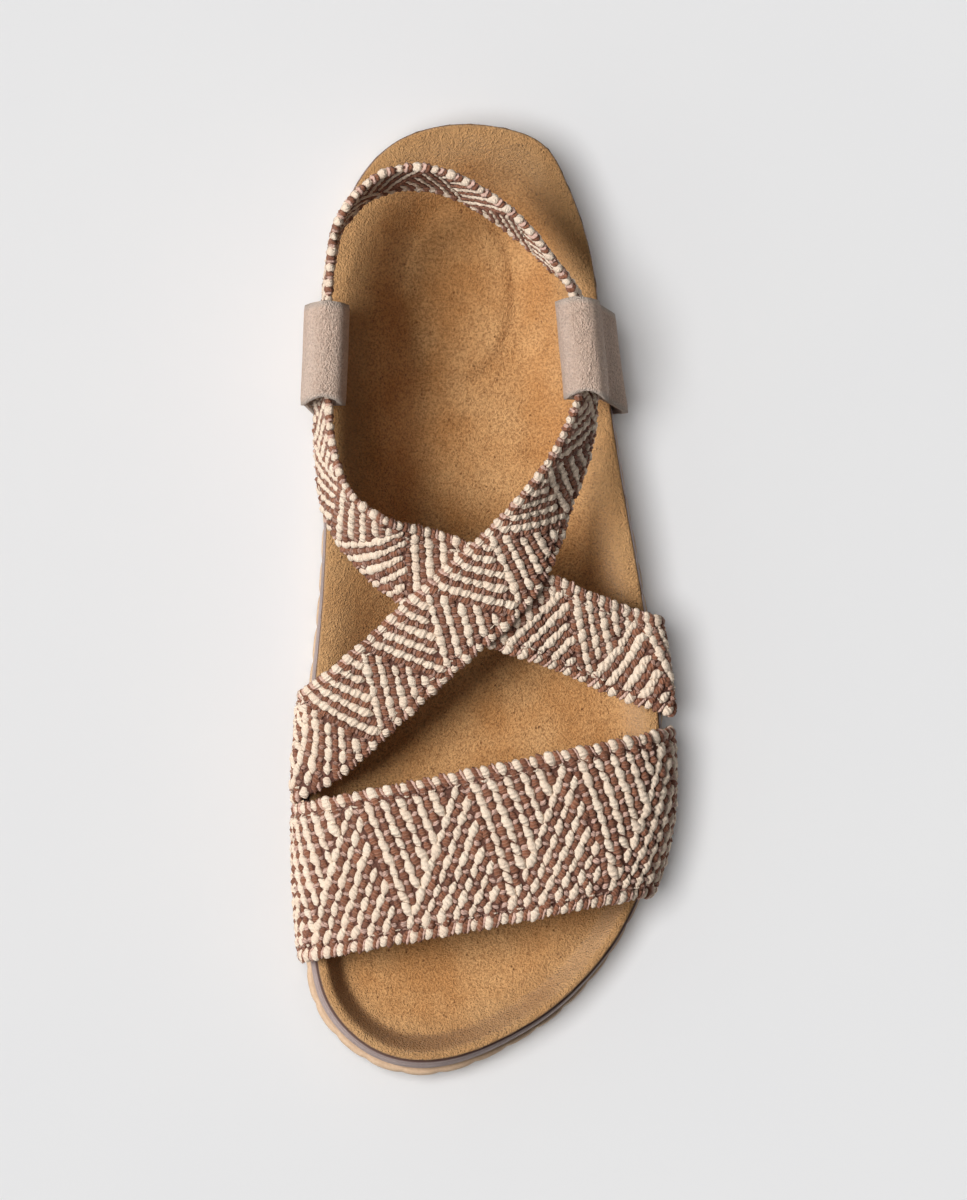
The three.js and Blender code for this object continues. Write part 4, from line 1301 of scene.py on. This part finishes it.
def grain_tree():
    """A pointed grain of plied yarn for each point of the cloud, turned to its axis."""
    tree, given, out = geometry_tree(
        "yarn_grains",
        [
            ("Sides", "NodeSocketInt", 8),
            ("Rings", "NodeSocketInt", 6),
            ("Point", "NodeSocketFloat", 0.5),
            ("Size Jitter", "NodeSocketFloat", 0.17),
            ("Turn Jitter", "NodeSocketFloat", 0.2),
            ("Wool", "NodeSocketFloat", 1.3 * MM),
            ("Seed", "NodeSocketInt", 4),
            ("Material", "NodeSocketMaterial", None),
        ],
    )
    ball = put(
        tree,
        "GeometryNodeMeshUVSphere",
        {"Segments": given["Sides"], "Rings": given["Rings"], "Radius": 0.5},
    ).outputs[0]
    place = put(tree, "GeometryNodeInputPosition").outputs[0]
    parts = put(tree, "ShaderNodeSeparateXYZ", {0: place}).outputs
    around = calc(tree, "DIVIDE", calc(tree, "ARCTAN2", parts["Y"], parts["X"]), 2 * math.pi)
    ball = store(tree, ball, "lengthwise", parts["Z"])
    ball = store(tree, ball, "around", around)
    square = calc(tree, "MULTIPLY", calc(tree, "MULTIPLY", parts["Z"], parts["Z"]), 4.0)
    keep = calc(tree, "SUBTRACT", 1.0, calc(tree, "MULTIPLY", square, given["Point"]))
    shape = put(tree, "ShaderNodeCombineXYZ", {"X": keep, "Y": keep, "Z": 1.0}).outputs[0]
    moved = vector_calc(tree, "MULTIPLY", place, shape)
    ball = put(tree, "GeometryNodeSetPosition", {"Geometry": ball, "Position": moved}).outputs[0]
    ball = put(tree, "GeometryNodeSetShadeSmooth", {"Geometry": ball}).outputs[0]
    axis = attribute_read(tree, "axis", "FLOAT_VECTOR")
    normal = attribute_read(tree, "normal_way", "FLOAT_VECTOR")
    low = calc(tree, "MULTIPLY", given["Turn Jitter"], -1.0)
    sway = random_value(tree, given["Seed"], low, given["Turn Jitter"])
    side = vector_calc(tree, "CROSS_PRODUCT", axis, normal)
    axis = vector_calc(tree, "ADD", axis, scaled(tree, side, sway))
    turn = put(tree, "FunctionNodeAlignRotationToVector", {"Vector": axis}, axis="Z").outputs[0]
    turn = put(
        tree,
        "FunctionNodeAlignRotationToVector",
        {"Rotation": turn, "Vector": normal},
        axis="X",
        pivot_axis="Z",
    ).outputs[0]
    least = calc(tree, "SUBTRACT", 1.0, given["Size Jitter"])
    most = calc(tree, "ADD", 1.0, given["Size Jitter"])
    grow = random_value(tree, calc(tree, "ADD", given["Seed"], 1.0), least, most)
    size = attribute_read(tree, "size", "FLOAT_VECTOR")
    sizes = put(tree, "ShaderNodeSeparateXYZ", {0: size}).outputs
    sizes = {"X": sizes["Z"], "Y": sizes["Y"], "Z": sizes["X"]}
    sizes = put(tree, "ShaderNodeCombineXYZ", sizes).outputs[0]
    scale = scaled(tree, sizes, grow)
    instances = put(
        tree,
        "GeometryNodeInstanceOnPoints",
        {"Points": given["Geometry"], "Instance": ball, "Rotation": turn, "Scale": scale},
    ).outputs[0]
    tone = random_value(tree, calc(tree, "ADD", given["Seed"], 2.0))
    instances = store(tree, instances, "shade", tone, domain="INSTANCE")
    real = put(tree, "GeometryNodeRealizeInstances", {"Geometry": instances}).outputs[0]
    lumps = {"Vector": place, "Scale": 1 / (LUMP_SIZE * MM)}
    lumps = put(tree, "ShaderNodeTexNoise", lumps).outputs["Color"]
    shift = scaled(tree, vector_calc(tree, "SUBTRACT", lumps, (0.5, 0.5, 0.5)), given["Wool"])
    real = put(tree, "GeometryNodeSetPosition", {"Geometry": real, "Offset": shift}).outputs[0]
    dressed = put(
        tree,
        "GeometryNodeSetMaterial",
        {"Geometry": real, "Material": given["Material"]},
    ).outputs[0]
    tree.links.new(dressed, out["Geometry"])
    return tree


GRAIN_TREE = grain_tree()


def grown(obj, tree, **inputs):
    """Runs a geometry tree on an object and keeps the result as its plain mesh."""
    modifier = obj.modifiers.new("growth", "NODES")
    modifier.node_group = tree
    keys = {item.name: item.identifier for item in tree.interface.items_tree if item.in_out == "INPUT"}
    for name, value in inputs.items():
        modifier[keys[name.replace("_", " ")]] = value
    evaluated = obj.evaluated_get(bpy.context.evaluated_depsgraph_get())
    mesh = bpy.data.meshes.new_from_object(evaluated)
    obj.modifiers.clear()
    mesh.name = obj.name
    obj.data = mesh
    return obj


# Bars of one period at a strap's edge: yarn, place and width as shares of the period. The bars of
# the one edge stand a little further on than those of the other.
SELVEDGE_BARS = [(CREAM, 0.25, 0.68), (BROWN, 0.69, 0.42), (GLINT, 0.91, 0.24)]
SELVEDGE_STAGGER = 0.2
SELVEDGE_INSET = 0.9
SELVEDGE_LEAN = 0.42
SELVEDGE_LENGTH = 1.4
SELVEDGE_HEIGHT = 1.05


def selvedge_cloud(name, ribbon, weave, span):
    """Bars of yarn that wrap the two edges of a strap, cream and brown in turn."""
    low, high = span
    count = int((high - low) / weave.period)
    bars = []
    for edge in (0, 1):
        for i in range(count):
            for yarn, start, width in SELVEDGE_BARS:
                u = low + (i + start + SELVEDGE_STAGGER * edge) * weave.period
                bars.append((u, edge, yarn, width * weave.period))
    along, edge, yarn, width = (np.array(column) for column in zip(*bars))
    place = ribbon.read(ribbon.rows, along, edge)
    normal = unit(ribbon.read(ribbon.normals, along, edge))
    forward = unit(ribbon.read(ribbon.along, along, edge))
    inwards = unit(np.cross(normal, forward)) * (1 - 2 * edge)[:, None]
    axis = unit(inwards + forward * SELVEDGE_LEAN)
    length = weave.selvedge * SELVEDGE_LENGTH
    size = [(length, across, STRAP_THICKNESS * SELVEDGE_HEIGHT) for across in width]
    return cloud(name, place + inwards * SELVEDGE_INSET, axis, normal, size, yarn)


Stitch = namedtuple("Stitch", "inset pitch length width lift_by")
STITCH = Stitch(inset=3.1, pitch=2.3, length=1.7, width=0.55, lift_by=1.1)


def stitch_cloud(name, ribbon, span):
    """A running thread just inside both edges of a strap's outer face."""
    low, high = span
    count = int((high - low) / STITCH.pitch)
    along = np.tile(low + np.arange(count) * STITCH.pitch, 2)
    edge = np.repeat([0, 1], count)
    width = np.interp(along, ribbon.distance, ribbon.width)
    share = np.abs(edge - STITCH.inset / width)
    place = ribbon.read(ribbon.rows, along, share)
    normal = unit(ribbon.read(ribbon.normals, along, share))
    forward = unit(ribbon.read(ribbon.along, along, share))
    size = np.tile([STITCH.length, STITCH.width, STITCH.width], (len(along), 1))
    yarn = np.where(np.arange(len(along)) % 3 == 0, CREAM, DIM_GLINT)
    return cloud(name, place + normal * STITCH.lift_by, forward, normal, size, yarn)


# How far the middles of the yarns on the two faces stand off the strap's middle, and how much the
# bars at the edges and the stitches sway
OUTER_LIFT = 0.55
INNER_LIFT = 0.5
BAR_SWAY = 0.06
STITCH_SWAY = 0.3
BLUNT = 0.2


def woven(name, rows, weave, outer_grains, smoothing):
    """A woven strap: its ground, dark partly as painted shade between the yarns, the yarns of its two
    faces and edges, and its stitches.
    The ends that are tucked under the midsole have no yarns."""
    ribbon = Ribbon(rows)
    tucked = len(TUCK_ROWS) * smoothing
    span = (ribbon.distance[tucked], ribbon.distance[-1 - tucked])
    web = band(name + "_web", rows, WEB_HALF, [WEAVE_GROUND_AND_GAP_SHADE])
    seat(web, name)
    for face, label, grains, lift_by in (
        (1, "outer", outer_grains, OUTER_LIFT),
        (-1, "inner", INNER_GRAINS, INNER_LIFT),
    ):
        yarns = grain_cloud(f"{name}_{label}_yarns", ribbon, weave, grains, face, span, lift_by)
        grown(yarns, GRAIN_TREE, Material=PLIED_YARN)
        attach(yarns, "root")
    for points, sway in (
        (selvedge_cloud(f"{name}_selvedges", ribbon, weave, span), BAR_SWAY),
        (stitch_cloud(f"{name}_stitches", ribbon, span), STITCH_SWAY),
    ):
        grown(points, GRAIN_TREE, Material=PLIED_YARN, Point=BLUNT, Turn_Jitter=sway)
        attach(points, "root")


def straps():
    woven("front_strap", front_strap_rows(), FRONT_WEAVE, OUTER_GRAINS, FRONT_SMOOTHING)
    woven("cross_strap", cross_strap_rows(), TAPE_WEAVE, TAPE_GRAINS, TAPE_SMOOTHING)


# Suede loops

LOOP_ACROSS = np.linspace(0, 1, 15)

# How far a loop's edges bow to the heel over the tape, at its toe end and at its heel end
LOOP_BOW = (2.2, 1.2)


def loop(side, node):
    """A suede strip comes up from the sole, goes round the tape and is sewn to itself."""
    section = LOOP_SECTIONS[side]
    half = LOOP_THICKNESS / 2

    def tape_at(position):
        row = Section(*(
            along_table([getattr(s, name) for s in TAPE_SECTIONS], np.array(position))
            for name in Section._fields
        ))
        return tape_place(row), float(row.width) * TAPE_WIDTH

    pitch = abs(tape_at(section + 0.5)[0][1] - tape_at(section - 0.5)[0][1])
    reach = side * LOOP_LENGTH / pitch
    places = np.array([tape_at(section + (share - 0.5) * reach)[0] for share in LOOP_ACROSS])
    half_width = STRAP_THICKNESS / 2 + LOOP_SIDE_ROOM + half
    half_height = tape_at(section)[1] / 2 + LOOP_END_ROOM + half
    rows = anchor_rows(side, LOOP, LOOP_ACROSS)[::-1]
    for out, up in LOOP_ROUND:
        row = places.copy()
        row[:, 0] += side * out * half_width
        row[:, 2] += up * half_height
        bow = LOOP_BOW[0] * (1 - LOOP_ACROSS) ** 2 + LOOP_BOW[1] * LOOP_ACROSS**2
        row[:, 1] += bow * max(0, up) * max(0, 1 - out * out)
        rows.append(row)
    rows = smooth_rows(rows, LOOP_SMOOTHING)
    if side == MEDIAL:
        rows = rows[::-1]
    obj = band(f"{node}_suede", rows, half, [LOOP_SUEDE], edge=0.8)
    across = np.zeros(2 * rows.shape[1])
    across[[0, rows.shape[1] - 1, rows.shape[1], -1]] = 1
    point_attribute(obj, "cut", np.tile(across, len(rows)))
    seat(obj, node)


def sandal():
    footbed()
    midsole()
    outsole()
    straps()
    loop(MEDIAL, "loop_medial")
    loop(LATERAL, "loop_lateral")


# Floor, light and camera

def floor():
    size = 4000
    corners = [(-size, -size, 0), (size, -size, 0), (size, size, 0), (-size, size, 0)]
    material, tree, shader = new_material("pale_floor", Roughness=0.9)
    shader.inputs["Specular IOR Level"].default_value = 0.1
    shade = noise(tree, object_place(tree), 60, 2.0)
    colour = blend(tree, shade, srgb(236, 236, 237), srgb(238, 238, 238))
    tree.links.new(colour, shader.inputs["Base Color"])
    obj = mesh_object("floor", corners, [(0, 1, 2, 3)], [material], smooth=False)


# The key light comes from the picture's left. The floor has a steeper one of its own, so that the
# shadow beside the shoe stays narrow.
Lamp = namedtuple("Lamp", "direction strength softness")
KEY = Lamp(Vector((-0.56, 0.05, 0.83)), 3.8, 29)
OVERHEAD = Lamp(Vector((-0.19, 0.03, 0.98)), 2.4, 26)
SKY_LEFT = 0.31
SKY_RIGHT = 0.06


def sun(name, lamp, floor_state):
    """A distant soft light that leaves out the floor or lights nothing else."""
    data = bpy.data.lights.new(name, "SUN")
    data.energy = lamp.strength
    data.angle = math.radians(lamp.softness)
    obj = link(bpy.data.objects.new(name, data))
    obj.rotation_euler = lamp.direction.to_track_quat("Z", "Y").to_euler()
    receivers = bpy.data.collections.new(name + "_receivers")
    receivers.objects.link(bpy.data.objects["floor"])
    receivers.collection_objects[0].light_linking.link_state = floor_state
    obj.light_linking.receiver_collection = receivers


def light():
    sun("key", KEY, "EXCLUDE")
    sun("overhead", OVERHEAD, "INCLUDE")
    world = bpy.data.worlds.new("studio")
    world.use_nodes = True
    tree = world.node_tree
    way = put(tree, "ShaderNodeTexCoord").outputs["Generated"]
    across = put(tree, "ShaderNodeSeparateXYZ", {0: way}).outputs["X"]
    background = tree.nodes["Background"]
    background.inputs["Color"].default_value = (1, 1, 1, 1)
    tree.links.new(mask(tree, across, -0.9, 0.9, SKY_LEFT, SKY_RIGHT), background.inputs["Strength"])
    bpy.context.scene.world = world
    bpy.context.scene.view_settings.view_transform = "Standard"


# The camera looks straight down from over the place between the two shoes of the picture, and is
# turned a little to the one shoe.
CAMERA_HEIGHT = 6000
CAMERA_OVER = (-50, -77)
FRAME_HEIGHT = 318
AIM_HEIGHT = 25


def camera():
    low, high = cad_box
    middle = (low + high) / 2
    aim = Vector((middle.x, middle.y, AIM_HEIGHT * MM))
    place = Vector((*CAMERA_OVER, CAMERA_HEIGHT)) * MM
    data = bpy.data.cameras.new("camera")
    data.lens = data.sensor_width * (place - aim).length / (FRAME_HEIGHT * MM)
    data.clip_end = 100
    obj = link(bpy.data.objects.new("camera", data))
    obj.location = place
    back = (place - aim).normalized()
    right = Vector((0, 1, 0)).cross(back).normalized()
    obj.rotation_euler = Matrix((right, back.cross(right), back)).transposed().to_euler()
    bpy.context.scene.camera = obj


sandal()
floor()
light()
camera()
